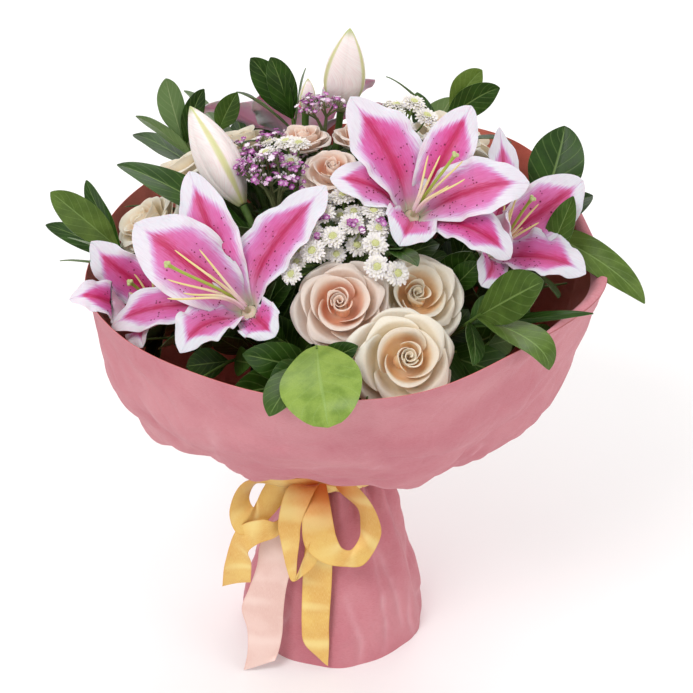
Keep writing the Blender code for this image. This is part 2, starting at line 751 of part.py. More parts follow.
# The button mums and the violet florets, by the place of each head
MUMS = {
    "front": [
        (4, -48, 397), (19, -41, 398), (25, -60, 391), (10, -70, 387), (-3, -79, 382), (26, -84, 379),
        (-17, -88, 376), (27, -101, 371), (41, -101, 366), (-10, -62, 391), (-19, -74, 384),
    ],
    "left": [(-28, 15, 405), (-37, 22, 403)],
    "back": [(55, 44, 424), (64, 34, 418), (42, 92, 398)],
}
MUM_FORKS = {"front": (10, -60, 344), "left": (-31, 17, 372), "back": (40, 66, 366)}
MUM_RADIUS = 9.5
VIOLET_CLUSTERS = {
    "left": ((-47, 7, 397), (27, 24, 8), 18, (-44, 8, 356)),
    "top": ((-13, 70, 416), (16, 9, 6), 7, (-10, 76, 384)),
}
FLORET_RADIUS = 4.4
FLORET_TRIES = 500
FLORET_SPACING = 1.7
FLORET_ROOM = 1.2
FLORET_STALK = 9.0
CLUSTER_FALL = 0.20
# A small head: its brim's radius and depth and its raised middle, as shares of its radius
BRIM_RADIUS = 0.58
BRIM_DEPTH = 0.18
MIDDLE_RISE = 0.35
BRANCH_RADIUS = 0.7
HEAD_LEAN = 0.5
TWIG_RADII = (1.3, 1.5)
TWIG_SHARE = 0.45
HEADS_TO_A_TWIG = 4
# The dome of flowers: half its width, depth and height, and its middle
DOME_RADII = (180.0, 165.0, 140.0)
DOME_MIDDLE = (0.0, 10.0, 265.0)


def outward(point):
    """The way that the dome of flowers faces at a point."""
    return unit([(p - m) / r**2 for p, m, r in zip(point, DOME_MIDDLE, DOME_RADII)])


def small_head(joint, head, radius, sides):
    """A thin branch that ends in a pointed ring of petals round a raised centre."""
    head = np.array(head, float)
    axis = unit(outward(head) + HEAD_LEAN * unit(head - joint))
    brim = BRIM_DEPTH * radius + 0.6
    crown = (head + MIDDLE_RISE * radius * axis, radius, 0.0, axis)
    return tube([joint, head - brim * axis], [BRANCH_RADIUS, BRIM_RADIUS * radius], sides, crown=crown)


def spray(name, kind, fork, heads, radius, sides, spot, material):
    """A thin stem that forks into twigs, each with a few small heads, grown as one."""
    fork = np.array(fork, float)
    path = stem_below_waist(spot) + stem_above_waist(spot, fork, 2)
    shapes = [tube(path, SPRAY_STEM_RADIUS, 4, flat_foot=True)]
    heads = [np.array(head, float) for head in heads]
    middle = sum(heads) / len(heads)
    twigs = max(1, round(len(heads) / HEADS_TO_A_TWIG))
    turned = sorted(heads, key=lambda h: math.atan2(h[1] - middle[1], h[0] - middle[0]))
    for k in range(twigs):
        group = turned[k * len(heads) // twigs:(k + 1) * len(heads) // twigs]
        joint = (1 - TWIG_SHARE) * fork + TWIG_SHARE * sum(group) / len(group)
        shapes.append(tube([fork - FORK_OVERLAP * UP, joint + UP], TWIG_RADII, 3))
        for head in group:
            start = joint + HEAD_LEAN * unit(head - joint)
            shapes.append(small_head(start, head, radius, sides))
    node(f"{kind}_{name}", shapes, material)


def floret_places(centre, spread, count):
    """Florets scattered over a patch of the dome, clear of each other and of the blooms."""
    draw = random.Random(count)
    places = []
    for _ in range(FLORET_TRIES):
        if len(places) == count:
            break
        angle = draw.uniform(0, 2 * math.pi)
        reach = math.sqrt(draw.random())
        x = spread[0] * reach * math.cos(angle)
        y = spread[1] * reach * math.sin(angle)
        z = draw.uniform(-0.5, 0.5) * spread[2] - CLUSTER_FALL * reach * reach * spread[0]
        point = np.array(centre, float) + (x, y, z)
        apart = all(np.linalg.norm(point - other) > FLORET_SPACING * FLORET_RADIUS for other in places)
        tried = small_head(point - FLORET_STALK * UP, point, FLORET_ROOM * FLORET_RADIUS, 4)
        if apart and is_clear(tried):
            places.append(point)
    return places


# Foliage: where each stem ends, then its leaves as (share of the way from the tie to the stem's
# end, tip, half width) and, for a leaf that arches over the paper's rim, how high it arches
LEAFY_STEMS = {
    "left": (
        (-162, -6, 334),
        [(0.98, (-207, 0, 375), 13), (0.98, (-183, 20, 374), 9), (0.92, (-203, 28, 360), 9),
         (0.90, (-194, -22, 350), 8), (0.86, (-198, -42, 342), 4), (0.66, (-150, -76, 285), 16),
         (0.78, (-112, -104, 302), 15), (0.72, (-166, 6, 300), 15)],
    ),
    "back_left": (
        (-118, 92, 372),
        [(1.0, (-128, 92, 421), 11), (0.98, (-100, 97, 410), 8), (0.94, (-150, 76, 398), 9),
         (0.90, (-165, 100, 372), 12), (0.72, (-160, 60, 330), 14), (0.82, (-138, 26, 374), 12)],
    ),
    "top": (
        (-34, 92, 388),
        [(1.0, (-65, 100, 434), 11), (1.0, (-50, 97, 436), 11), (0.96, (-76, 92, 410), 12),
         (0.97, (-24, 104, 424), 6), (0.90, (-70, 30, 398), 5), (0.80, (-60, 134, 360), 15)],
    ),
    "top_right": (
        (84, 92, 396),
        [(1.0, (107, 92, 428), 11), (0.97, (120, 82, 418), 10), (0.94, (44, 66, 432), 6),
         (0.90, (128, 70, 384), 13), (0.85, (60, 120, 396), 13),
         (0.74, (130, 108, 344), 15)],
    ),
    "right": (
        (150, 28, 344),
        [(1.0, (167, 60, 398), 17), (0.97, (172, 32, 368), 12), (0.95, (222, -38, 304), 17),
         (0.90, (190, 50, 345), 14), (0.74, (140, 70, 300), 15), (0.82, (158, -50, 316), 15),
         (0.70, (118, 20, 330), 14)],
    ),
    "front_right": (
        (100, -96, 330),
        [(0.98, (140, -122, 372), 18), (0.98, (144, -152, 320), 14, 0.32), (0.94, (92, -156, 326), 8),
         (0.90, (177, -108, 338), 4), (0.72, (128, -104, 280), 16), (0.80, (76, -136, 290), 14)],
    ),
    "front": (
        (-14, -140, 318),
        [(1.0, (-8, -194, 304), 24, 0.22), (0.94, (-40, -176, 304), 18), (0.96, (16, -142, 334), 9),
         (0.80, (-74, -140, 292), 17), (0.88, (-64, -148, 330), 14)],
    ),
    "middle": (
        (36, -66, 366),
        [(1.0, (62, -92, 403), 8), (0.96, (46, -80, 388), 6), (0.80, (76, -56, 340), 13),
         (0.86, (-14, -44, 368), 13), (0.76, (20, -20, 364), 13)],
    ),
    "far_left": (
        (-70, 132, 330),
        [(1.0, (-120, 160, 378), 15), (0.94, (-150, 130, 350), 15), (0.90, (-80, 186, 340), 15),
         (0.76, (-120, 110, 288), 15)],
    ),
    "far_right": (
        (60, 140, 322),
        [(1.0, (100, 176, 352), 16), (0.96, (30, 190, 330), 15), (0.92, (150, 120, 336), 15),
         (0.78, (110, 110, 280), 15)],
    ),
}
LEAF_ARCH = 0.10
LEAF_FOLD = 0.16
LEAF_WIDEST_AT = 0.45
LEAF_ROOT_WIDTH = 0.08
LEAF_TIP_ROUNDNESS = 0.75
LEAF_TIP_HALF_WIDTH = 0.9
LEAF_LIFT_SHARES = (0.8, 1.2)
LEAF_PULL_SHARES = (0.33, 0.70)
LEAF_UPTURN = 0.25
NARROW_LEAF_HALF_WIDTH = 7
LEAFY_TIP_RADII = [1.9, 1.3]


def leaf(base, tip, half_width, rise=LEAF_ARCH, bend=(0.0, 0.0), extra=0.0):
    """A leaf that rises from its stem and arches over; bend swings its tip up and aside."""
    rows = 4 if half_width > NARROW_LEAF_HALF_WIDTH else 3
    base = np.array(base, float)
    chord = np.array(tip, float) - base
    length = np.linalg.norm(chord)
    face = outward(base + 0.6 * chord)
    side = unit(np.cross(chord, face))
    chord = length * unit(chord / length + bend[0] * face + bend[1] * side)
    face = unit(outward(base + 0.6 * chord) + LEAF_UPTURN * UP)
    arch = rise * length * face
    s = np.linspace(0.0, 1.0, rows)
    first = base + LEAF_PULL_SHARES[0] * chord + LEAF_LIFT_SHARES[0] * arch
    second = base + LEAF_PULL_SHARES[1] * chord + LEAF_LIFT_SHARES[1] * arch
    spine = bezier(base, first, second, base + chord, rows)
    shares = swell(s, LEAF_WIDEST_AT, LEAF_ROOT_WIDTH, 0.0, LEAF_TIP_ROUNDNESS)
    widths = np.maximum(half_width * shares, LEAF_TIP_HALF_WIDTH) + extra
    return blade(spine, widths, face, LEAF_THICKNESS + 2 * extra, fold=LEAF_FOLD)


LEAF_BENDS = [(0.0, 0.0)] + [
    (size * math.sin(math.radians(turn)), size * math.cos(math.radians(turn)))
    for size in (0.12, 0.25, 0.4, 0.6, 0.8)
    for turn in (90, 45, 135, 0, 180, 225, 315, 270)
]


def clear_leaf(base, *blade_row):
    """The leaf swung just far enough to miss its neighbours, or nothing where there is no room."""
    rise = blade_row[2] if len(blade_row) > 2 else LEAF_ARCH
    tip, half_width = blade_row[:2]
    for bend in LEAF_BENDS:
        if is_clear(leaf(base, tip, half_width, rise, bend, extra=CLEARANCE)):
            return [leaf(base, tip, half_width, rise, bend)]
    return []


def leafy_stem(name, end, leaves, spot):
    """A foliage stem; a leaf that would touch a neighbour is bent clear of it."""
    end = np.array(end, float)
    steps = 3
    path = stem_below_waist(spot) + stem_above_waist(spot, end, steps)
    above = np.array(path[3:])
    radii = [LEAFY_STEM_RADIUS] * (len(path) - 2) + LEAFY_TIP_RADII
    shapes = [tube(path, radii, 4, flat_foot=True)]
    for share, *blade_row in leaves:
        at = share * (len(above) - 1)
        low = min(int(at), len(above) - 2)
        base = above[low] + (at - low) * (above[low + 1] - above[low])
        shapes += clear_leaf(base, *blade_row)
    node(f"foliage_{name}", shapes, LEAF_GREEN)


# The paper: rings from the hem up to the rim. Each row holds the radius and then the height in
# eight directions (right, back right, back, back left, left, front left, front, front right) and
# how deep the gathers are
WRAP_RINGS = [
    ((66, 70, 74, 75, 76, 78, 80, 73), (0, 0, 0, 0, 0, 0, 0, 0), 0.6),
    ((65, 68, 71, 72, 74, 76, 77, 71), (24, 24, 24, 24, 24, 24, 24, 24), 1.0),
    ((55, 57, 59, 60, 61, 62, 63, 59), (66, 66, 66, 66, 66, 66, 66, 66), 1.6),
    ((45, 46, 46, 47, 47, 47, 48, 46), (104, 104, 104, 104, 104, 104, 104, 104), 2.2),
    ((30.4,) * 8, (136,) * 8, 5.8),
    ((30.4,) * 8, (153,) * 8, 5.8),
    ((66, 62, 60, 62, 66, 62, 58, 62), (165, 166, 165, 166, 165, 168, 168, 167), 6.0),
    ((138, 126, 116, 126, 142, 124, 102, 120), (170, 178, 180, 178, 169, 196, 189, 186), 3.0),
    ((172, 162, 153, 161, 173, 166, 154, 162), (236, 248, 242, 240, 230, 248, 247, 248), 2.4),
    ((194, 189, 180, 182, 184, 188, 187, 188), (315, 350, 339, 326, 315, 324, 318, 329), 2.0),
]
WRAP_GATHERS = 12
WRAP_COLUMNS = 24


def around(values, turn):
    """A value between those of the two nearest of eight directions, eased from one to the next."""
    place = 8 * (turn / (2 * math.pi)) % 8
    low = int(place)
    share = 0.5 - 0.5 * math.cos(math.pi * (place - low))
    return (1 - share) * values[low] + share * values[(low + 1) % 8]


def wrap_point(ring, turn):
    radii, heights, gather = ring
    radius = around(radii, turn) + gather * math.cos(WRAP_GATHERS * turn)
    return np.array([radius * math.cos(turn), radius * math.sin(turn), around(heights, turn)])


def wrap():
    columns = WRAP_COLUMNS
    grid = np.zeros((len(WRAP_RINGS), columns, 3))
    for i, ring in enumerate(WRAP_RINGS):
        for j in range(columns):
            grid[i, j] = wrap_point(ring, 2 * math.pi * j / columns)
    points, faces = sheet(grid, PAPER_THICKNESS, ring=True)
    half = grid.shape[0] * columns
    for j in range(columns):
        points[j][2] = 0.0
        points[half + j][2] = 0.0
    node("paper_wrap", [(points, faces)], PAPER)


def binding(bundle):
    """Turns of twine round the stems, as one band."""
    inner = bundle + CLEARANCE
    half = TIE_HALF_HEIGHT - CLEARANCE
    ring = [(TIE_RADIUS, half), (inner, half), (inner, -half), (TIE_RADIUS, -half)]
    sides = 16
    points = [
        (r * math.cos(2 * math.pi * k / sides), r * math.sin(2 * math.pi * k / sides), WAIST_HEIGHT + z)
        for k in range(sides)
        for r, z in ring
    ]
    faces = []
    for k in range(sides):
        for m in range(4):
            a = 4 * k + m
            b = 4 * k + (m + 1) % 4
            c = 4 * ((k + 1) % sides)
            faces += [(a, b, c + (m + 1) % 4), (a, c + (m + 1) % 4, c + m)]
    node("twine_binding", [(np.array(points), faces)], TWINE)


# Satin ribbons, 22 mm and 31 mm wide: each strip by its two edges, station by station
BAND_RADIUS = 37.4
BAND_FOOT = 137.0
BAND_TOP = 152.0
KNOT = [(-27, -29, 145), (-20, -38, 146), (-9, -42, 146), (-1, -41, 145)]
KNOT_RADII = [4.0, 6.0, 6.0, 4.0]
YELLOW_STRIPS = {
    "left_loop": [
        ((-15, -45, 155), (-15, -45, 146)),
        ((-38, -52, 159), (-39, -48, 148)),
        ((-69, -64, 165), (-60, -47, 152)),
        ((-81, -68, 142), (-67, -50, 142)),
        ((-76, -69, 121), (-64, -56, 136)),
        ((-62, -62, 118), (-61, -50, 138)),
        ((-48, -54, 129), (-56, -47, 148)),
        ((-36, -49, 142), (-48, -45, 157)),
        ((-20, -45, 146), (-22, -44, 154)),
    ],
    "left_tail": [
        ((-22, -46, 144), (-26, -45, 150)),
        ((-36, -58, 124), (-38, -54, 134)),
        ((-46, -66, 116), (-47, -62, 127)),
        ((-60, -70, 112), (-58, -65, 131)),
        ((-68, -70, 104), (-76, -66, 123)),
        ((-66, -67, 91), (-86, -64, 90)),
        ((-67, -64, 71), (-89, -60, 64)),
    ],
    "middle_loop": [
        ((-14, -47, 151), (-24, -47, 152)),
        ((-17, -56, 152), (-38, -54, 152)),
        ((-27, -68, 132), (-45, -66, 130)),
        ((-29, -74, 117), (-43, -70, 113)),
        ((-31, -78, 100), (-39, -74, 92)),
        ((-31, -80, 87), (-35, -77, 82)),
        ((-27, -81, 103), (-28, -80, 88)),
        ((-19, -72, 122), (-15, -74, 101)),
        ((-16, -56, 140), (-8, -58, 130)),
        ((-16, -47, 147), (-8, -47, 146)),
    ],
    "right_loop": [
        ((-18, -46, 150), (-9, -46, 150)),
        ((-25, -60, 141), (-6, -59, 141)),
        ((-27, -70, 128), (-3, -69, 127)),
        ((-24, -76, 112), (-1, -72, 119)),
        ((-11, -79, 101), (3, -74, 111)),
        ((5, -80, 98), (10, -72, 108)),
        ((20, -78, 99), (16, -67, 115)),
        ((32, -70, 118), (17, -61, 122)),
        ((30, -63, 132), (15, -55, 134)),
        ((21, -56, 146), (3, -49, 143)),
        ((8, -49, 155), (-3, -44, 147)),
        ((-9, -45, 153), (-9, -45, 147)),
    ],
    "right_tail": [
        ((-20, -47, 146), (-11, -47, 146)),
        ((-23, -56, 124), (-4, -56, 124)),
        ((-25, -62, 104), (-4, -62, 104)),
        ((-27, -69, 77), (-5, -69, 73)),
        ((-28, -77, 40), (-7, -77, 41)),
        ((-26, -80, 24), (-7, -80, 24)),
        ((-15, -83, 12), (-8, -84, 5)),
    ],
}
BLUSH_STRIP = [
    ((-24, -42, 134), (-19, -43, 138)),
    ((-42, -48, 119), (-29, -46, 128)),
    ((-58, -54, 104), (-36, -54, 106)),
    ((-62, -60, 84), (-36, -61, 85)),
    ((-68, -64, 66), (-40, -66, 65)),
    ((-74, -69, 50), (-42, -71, 49)),
    ((-70, -75, 34), (-43, -77, 32)),
    ((-70, -80, 16), (-46, -81, 17)),
    ((-73, -84, 1), (-49, -85, 11)),
]


def strip(stations):
    return sheet(np.array(stations, float), RIBBON_THICKNESS)


def ribbons():
    columns = 24
    grid = np.zeros((2, columns, 3))
    for i, height in enumerate((BAND_FOOT, BAND_TOP)):
        for j in range(columns):
            turn = 2 * math.pi * j / columns
            grid[i, j] = (BAND_RADIUS * math.cos(turn), BAND_RADIUS * math.sin(turn), height)
    shapes = [sheet(grid, RIBBON_THICKNESS, ring=True), tube(KNOT, KNOT_RADII, 6)]
    shapes += [strip(stations) for stations in YELLOW_STRIPS.values()]
    node("ribbon_yellow", shapes, YELLOW_SATIN)
    node("ribbon_blush", [strip(BLUSH_STRIP)], BLUSH_SATIN)


wrap()
ribbons()
for lily_name, lily_flower in LILIES.items():
    lily(lily_name, lily_flower)
    lily_heart(lily_name, lily_flower)
for bud_name, (bud_base, bud_tip, bud_radius) in BUDS.items():
    bud(bud_name, bud_base, bud_tip, bud_radius)
for rose_name, rose_row in ROSES.items():
    rose(rose_name, *rose_row)

heads_at_waist = {}
for stem_name, (fork, _, _) in LILY_STEMS.items():
    heads_at_waist["lily " + stem_name] = (fork, LILY_STEM_RADIUS)
for rose_name, (heart, axis, radius, _, _) in ROSES.items():
    heads_at_waist["rose " + rose_name] = (heart, ROSE_STEM_RADIUS)
for mum_name, fork in MUM_FORKS.items():
    heads_at_waist["mum " + mum_name] = (fork, SPRAY_STEM_RADIUS)
for violet_name, (_, _, _, fork) in VIOLET_CLUSTERS.items():
    heads_at_waist["violet " + violet_name] = (fork, SPRAY_STEM_RADIUS)
for leafy_name, (end, _) in LEAFY_STEMS.items():
    heads_at_waist["foliage " + leafy_name] = (end, LEAFY_STEM_RADIUS)
waist_spots = packed_at_waist(heads_at_waist)
bundle_radius = max(np.linalg.norm(waist_spots[n]) + heads_at_waist[n][1] for n in waist_spots)

for stem_name, (fork, flowers, buds) in LILY_STEMS.items():
    lily_stem(stem_name, fork, flowers, buds, waist_spots["lily " + stem_name])
for rose_name, (heart, axis, radius, _, _) in ROSES.items():
    rose_stem(rose_name, heart, axis, radius, waist_spots["rose " + rose_name])
binding(bundle_radius)
for mum_name, mum_heads in MUMS.items():
    spot = waist_spots["mum " + mum_name]
    spray(mum_name, "button_mums", MUM_FORKS[mum_name], mum_heads, MUM_RADIUS, 6, spot, MUM_WHITE)
for violet_name, (centre, spread, count, fork) in VIOLET_CLUSTERS.items():
    spot = waist_spots["violet " + violet_name]
    places = floret_places(centre, spread, count)
    spray(violet_name, "violet_florets", fork, places, FLORET_RADIUS, 4, spot, VIOLET)
for leafy_name, (end, leaves) in LEAFY_STEMS.items():
    leafy_stem(leafy_name, end, leaves, waist_spots["foliage " + leafy_name])
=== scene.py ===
"""The looks of a hand-tied flower bouquet in a flared paper wrap, modelled over its CAD frame.

Sizes are in millimetres, as (right, back, up), and MM turns them into metres.
"""

import json
import math
import random

import bpy
import numpy as np
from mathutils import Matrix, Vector, noise
from mathutils.bvhtree import BVHTree

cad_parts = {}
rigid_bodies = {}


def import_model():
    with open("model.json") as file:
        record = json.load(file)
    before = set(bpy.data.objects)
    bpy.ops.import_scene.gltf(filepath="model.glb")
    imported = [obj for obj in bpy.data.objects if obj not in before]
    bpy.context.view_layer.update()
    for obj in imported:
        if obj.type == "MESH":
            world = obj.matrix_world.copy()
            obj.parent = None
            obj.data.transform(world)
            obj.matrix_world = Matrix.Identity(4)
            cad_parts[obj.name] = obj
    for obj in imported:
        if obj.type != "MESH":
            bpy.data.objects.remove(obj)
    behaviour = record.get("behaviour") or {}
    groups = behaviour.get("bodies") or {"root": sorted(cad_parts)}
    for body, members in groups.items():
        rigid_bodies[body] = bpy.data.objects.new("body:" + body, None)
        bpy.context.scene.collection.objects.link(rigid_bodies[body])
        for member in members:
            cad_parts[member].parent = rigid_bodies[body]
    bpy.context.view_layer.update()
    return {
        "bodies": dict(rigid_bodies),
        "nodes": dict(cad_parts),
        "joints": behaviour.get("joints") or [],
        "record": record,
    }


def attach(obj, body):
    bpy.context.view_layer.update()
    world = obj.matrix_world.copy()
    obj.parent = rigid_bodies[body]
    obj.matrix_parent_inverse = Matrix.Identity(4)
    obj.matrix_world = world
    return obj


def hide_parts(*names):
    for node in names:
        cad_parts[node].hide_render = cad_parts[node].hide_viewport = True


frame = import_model()

MM = 0.001


# Studio: a pale floor that runs out of the picture, one large soft lamp above the left shoulder of
# the camera, weaker ones on the right and behind, and a pale surround. The camera stands a little
# above the flowers and looks along the back axis.
LOOK_AT = Vector((0.0064, 0.0, 0.2437))
CAMERA_DISTANCE = 1.8
CAMERA_TILT = math.radians(32.0)
FOCAL_LENGTH = 124.7
SENSOR_WIDTH = 36.0
FLOOR_HALF_WIDTH = 7.0
FLOOR_WHITE = 0.92
SURROUND_STRENGTH = 0.76

scene = bpy.context.scene
scene.view_settings.view_transform = "Standard"
scene.world = bpy.data.worlds.new("pale_surround")
scene.world.use_nodes = True
surround = scene.world.node_tree.nodes["Background"]
surround.inputs["Color"].default_value = (1.0, 0.99, 0.98, 1.0)
surround.inputs["Strength"].default_value = SURROUND_STRENGTH


def soft_lamp(name, place, power, size):
    """A square lamp that points at the bouquet."""
    data = bpy.data.lights.new(name, "AREA")
    data.energy = power
    data.size = size
    lamp = bpy.data.objects.new(name, data)
    scene.collection.objects.link(lamp)
    lamp.location = place
    lamp.rotation_euler = (LOOK_AT - Vector(place)).to_track_quat("-Z", "Y").to_euler()
    return lamp


key_lamp = soft_lamp("key_lamp", (-0.9, -1.3, 2.0), 25.0, 1.0)
fill_lamp = soft_lamp("fill_lamp", (1.6, -0.9, 1.2), 8.0, 1.5)
back_lamp = soft_lamp("back_lamp", (0.2, 1.5, 1.7), 14.0, 1.2)

floor_mesh = bpy.data.meshes.new("floor")
reach = FLOOR_HALF_WIDTH
corners = [(-reach, -reach, 0.0), (reach, -reach, 0.0), (reach, reach, 0.0), (-reach, reach, 0.0)]
floor_mesh.from_pydata(corners, [], [(0, 1, 2, 3)])
floor = bpy.data.objects.new("floor", floor_mesh)
scene.collection.objects.link(floor)
floor_finish = bpy.data.materials.new("pale_floor")
floor_finish.use_nodes = True
floor_shader = floor_finish.node_tree.nodes["Principled BSDF"]
floor_shader.inputs["Base Color"].default_value = (FLOOR_WHITE,) * 3 + (1.0,)
floor_shader.inputs["Roughness"].default_value = 0.9
floor_mesh.materials.append(floor_finish)

camera = bpy.data.objects.new("camera", bpy.data.cameras.new("camera"))
camera.data.lens = FOCAL_LENGTH
camera.data.sensor_width = SENSOR_WIDTH
scene.collection.objects.link(camera)
backward = Vector((0.0, -math.cos(CAMERA_TILT), math.sin(CAMERA_TILT)))
camera.location = LOOK_AT + CAMERA_DISTANCE * backward
camera.rotation_euler = (-backward).to_track_quat("-Z", "Y").to_euler()
scene.camera = camera


# Paper wrap: one sheet of matte florist paper, dusty pink outside and brick pink inside, gathered at
# the waist and opened into a wide collar above and a flared skirt below. A strip of its rim is
# folded in on the right.
PAPER_THICKNESS = 0.5
WRAP_ROWS = 100
WRAP_COLUMNS = 240
WRAP_GATHERS = 12
# Rings from the hem to the rim: radius and height in eight directions, and how deep the gathers are
WRAP_RINGS = [
    ((66, 70, 74, 75, 76, 78, 80, 73), (0,) * 8, 0.6),
    ((65, 68, 71, 72, 74, 76, 77, 71), (24,) * 8, 1.0),
    ((55, 57, 59, 60, 61, 62, 63, 59), (66,) * 8, 1.6),
    ((45, 46, 46, 47, 47, 47, 48, 46), (104,) * 8, 2.2),
    ((30.4,) * 8, (136,) * 8, 5.8),
    ((30.4,) * 8, (153,) * 8, 5.8),
    ((66, 62, 60, 62, 66, 62, 58, 62), (165, 166, 165, 166, 165, 168, 168, 167), 6.0),
    ((138, 126, 116, 126, 142, 124, 102, 120), (170, 178, 180, 178, 169, 196, 189, 186), 3.0),
    ((172, 162, 153, 161, 173, 166, 154, 162), (236, 248, 242, 240, 230, 248, 247, 248), 2.4),
    ((194, 189, 180, 182, 184, 188, 187, 188), (315, 350, 339, 326, 315, 324, 318, 329), 2.0),
]
CORNER_ROUNDING = 0.16
COLLAR_FROM = 6.4
COLLAR_EASE = 1.6
COLLAR_FOLD_RING = 7.0
WAIST_RINGS = (3.6, 5.4)
COARSE_CRUMPLE = 62.0
FINE_CRUMPLE = 24.0
MEAN_CRUMPLE = 0.22
DEEPEST_CREASE = 5.0
CREASE_DEPTH = 1.5
FOLD_CREASE_DEPTH = 1.6
# Tucks at the foot of the collar: place, width and depth
TUCKS = (
    ((122, -64, 186), 15.0, 7.0),
    ((84, -98, 192), 11.0, 4.0),
    ((-104, -76, 186), 13.0, 5.0),
    ((20, -112, 194), 12.0, 3.0),
)
# Long creases, as (turn in degrees, ring) where each starts and ends, its width and its depth
LONG_CREASES = (
    ((-128, 7.15), (-124, 8.3), 4.0, 2.2), ((-116, 6.96), (-84, 7.22), 5.0, 3.0),
    ((-84, 7.22), (-60, 6.98), 5.0, -2.0), ((-57, 6.98), (-45, 7.6), 3.2, 4.6),
    ((-53, 6.98), (-41, 7.5), 3.2, -3.2), ((-133, 7.0), (-146, 7.5), 3.2, 3.6),
    ((-41, 7.3), (-30, 8.5), 5.0, 2.4), ((-150, 7.05), (-144, 8.0), 5.0, 2.4),
    ((-104, 7.5), (-62, 7.85), 8.0, 1.2), ((-36, 8.1), (-27, 8.95), 4.0, 1.8),
    ((-62, 0.2), (-52, 3.2), 7.0, 3.0), ((-76, 0.1), (-82, 1.8), 5.0, 1.8),
    ((-44, 0.6), (-50, 2.8), 4.0, 2.2), ((-101, 0.2), (-96, 2.6), 5.0, 1.8),
    ((-36, 0.0), (-32, 1.4), 4.0, 2.0),
)
CREASE_STEPS = 26
CREASE_PALE_WIDTH = 2.6
MORE_CREASES = 46
TURNED_RIM_FROM = math.radians(-92.0)
TURNED_RIM_TO = math.radians(12.0)
TURNED_RIM_RING = 8.76
TURNED_RIM_RISE = 1.5
LIP_FROM = math.radians(-42.0)
LIP_TO = math.radians(24.0)
LIP_WIDTH = 13.0
LIP_STEPS = 60
LIP_ROWS = 9


def colour(text):
    """A colour written as six hexadecimal digits, as the linear light that a shader takes."""
    parts = [int(text[i:i + 2], 16) / 255 for i in (1, 3, 5)]
    return [p / 12.92 if p <= 0.04045 else ((p + 0.055) / 1.055) ** 2.4 for p in parts] + [1.0]


class Look:
    """A surface finish built from procedural nodes."""

    def __init__(self, name, settings):
        self.material = bpy.data.materials.new(name)
        self.material.use_nodes = True
        self.tree = self.material.node_tree
        self.shader = self.tree.nodes["Principled BSDF"]
        self.coordinates = self.add("TexCoord", {}, "Object")
        self.give({"Subsurface Scale": 1.0, **settings})

    def plug(self, socket, value):
        if isinstance(value, bpy.types.NodeSocket):
            self.tree.links.new(value, socket)
        elif isinstance(value, str):
            socket.default_value = colour(value)
        else:
            socket.default_value = value

    def give(self, settings):
        for socket, value in settings.items():
            self.plug(self.shader.inputs[socket], value)

    def add(self, kind, inputs, output=0, **settings):
        made = self.tree.nodes.new("ShaderNode" + kind)
        for name, value in settings.items():
            setattr(made, name, value)
        for key, value in inputs.items():
            self.plug(made.inputs[key], value)
        return made.outputs[output]

    def field(self, name):
        """A value that the mesh holds for each of its points."""
        return self.add("Attribute", {}, "Fac", attribute_name=name)

    def stretched(self, factors):
        return self.add("Mapping", {"Vector": self.coordinates, "Scale": factors})

    def noise(self, scale, detail=4.0, vector=None):
        inputs = {"Vector": vector or self.coordinates, "Scale": scale, "Detail": detail}
        return self.add("TexNoise", {**inputs, "Roughness": 0.55})

    def streaks(self, across, along, detail=4.0):
        """Noise drawn out along a strip: how fine it is across the strip and along it."""
        wide = self.times(self.field("wide"), across)
        long = self.times(self.field("long"), along)
        return self.noise(1.0, detail, self.add("CombineXYZ", {"X": wide, "Y": long}))

    def calc(self, operation, first, second=0.0, third=0.0):
        return self.add("Math", {0: first, 1: second, 2: third}, operation=operation)

    def times(self, value, factor):
        return self.calc("MULTIPLY", value, factor)

    def fade(self, value, low, high, start=0.0, end=1.0):
        """Eased from start at the low value to end at the high one."""
        inputs = {"Value": value, "From Min": low, "From Max": high, "To Min": start, "To Max": end}
        return self.add("MapRange", inputs, interpolation_type="SMOOTHSTEP")

    def mix(self, share, first, second, blend="MIX"):
        inputs = {0: share, 6: first, 7: second}
        return self.add("Mix", inputs, 2, data_type="RGBA", blend_type=blend)

    def relief(self, height, depth):
        """Fine relief from a height of 0 to 1 and its depth in millimetres."""
        bump = self.add("Bump", {"Height": height, "Distance": depth * MM, "Strength": 1.0})
        self.plug(self.shader.inputs["Normal"], bump)


def unit(vectors):
    """One vector, or each of many, brought to a length of 1."""
    vectors = np.asarray(vectors, float)
    return vectors / np.maximum(np.linalg.norm(vectors, axis=-1, keepdims=True), 1e-9)


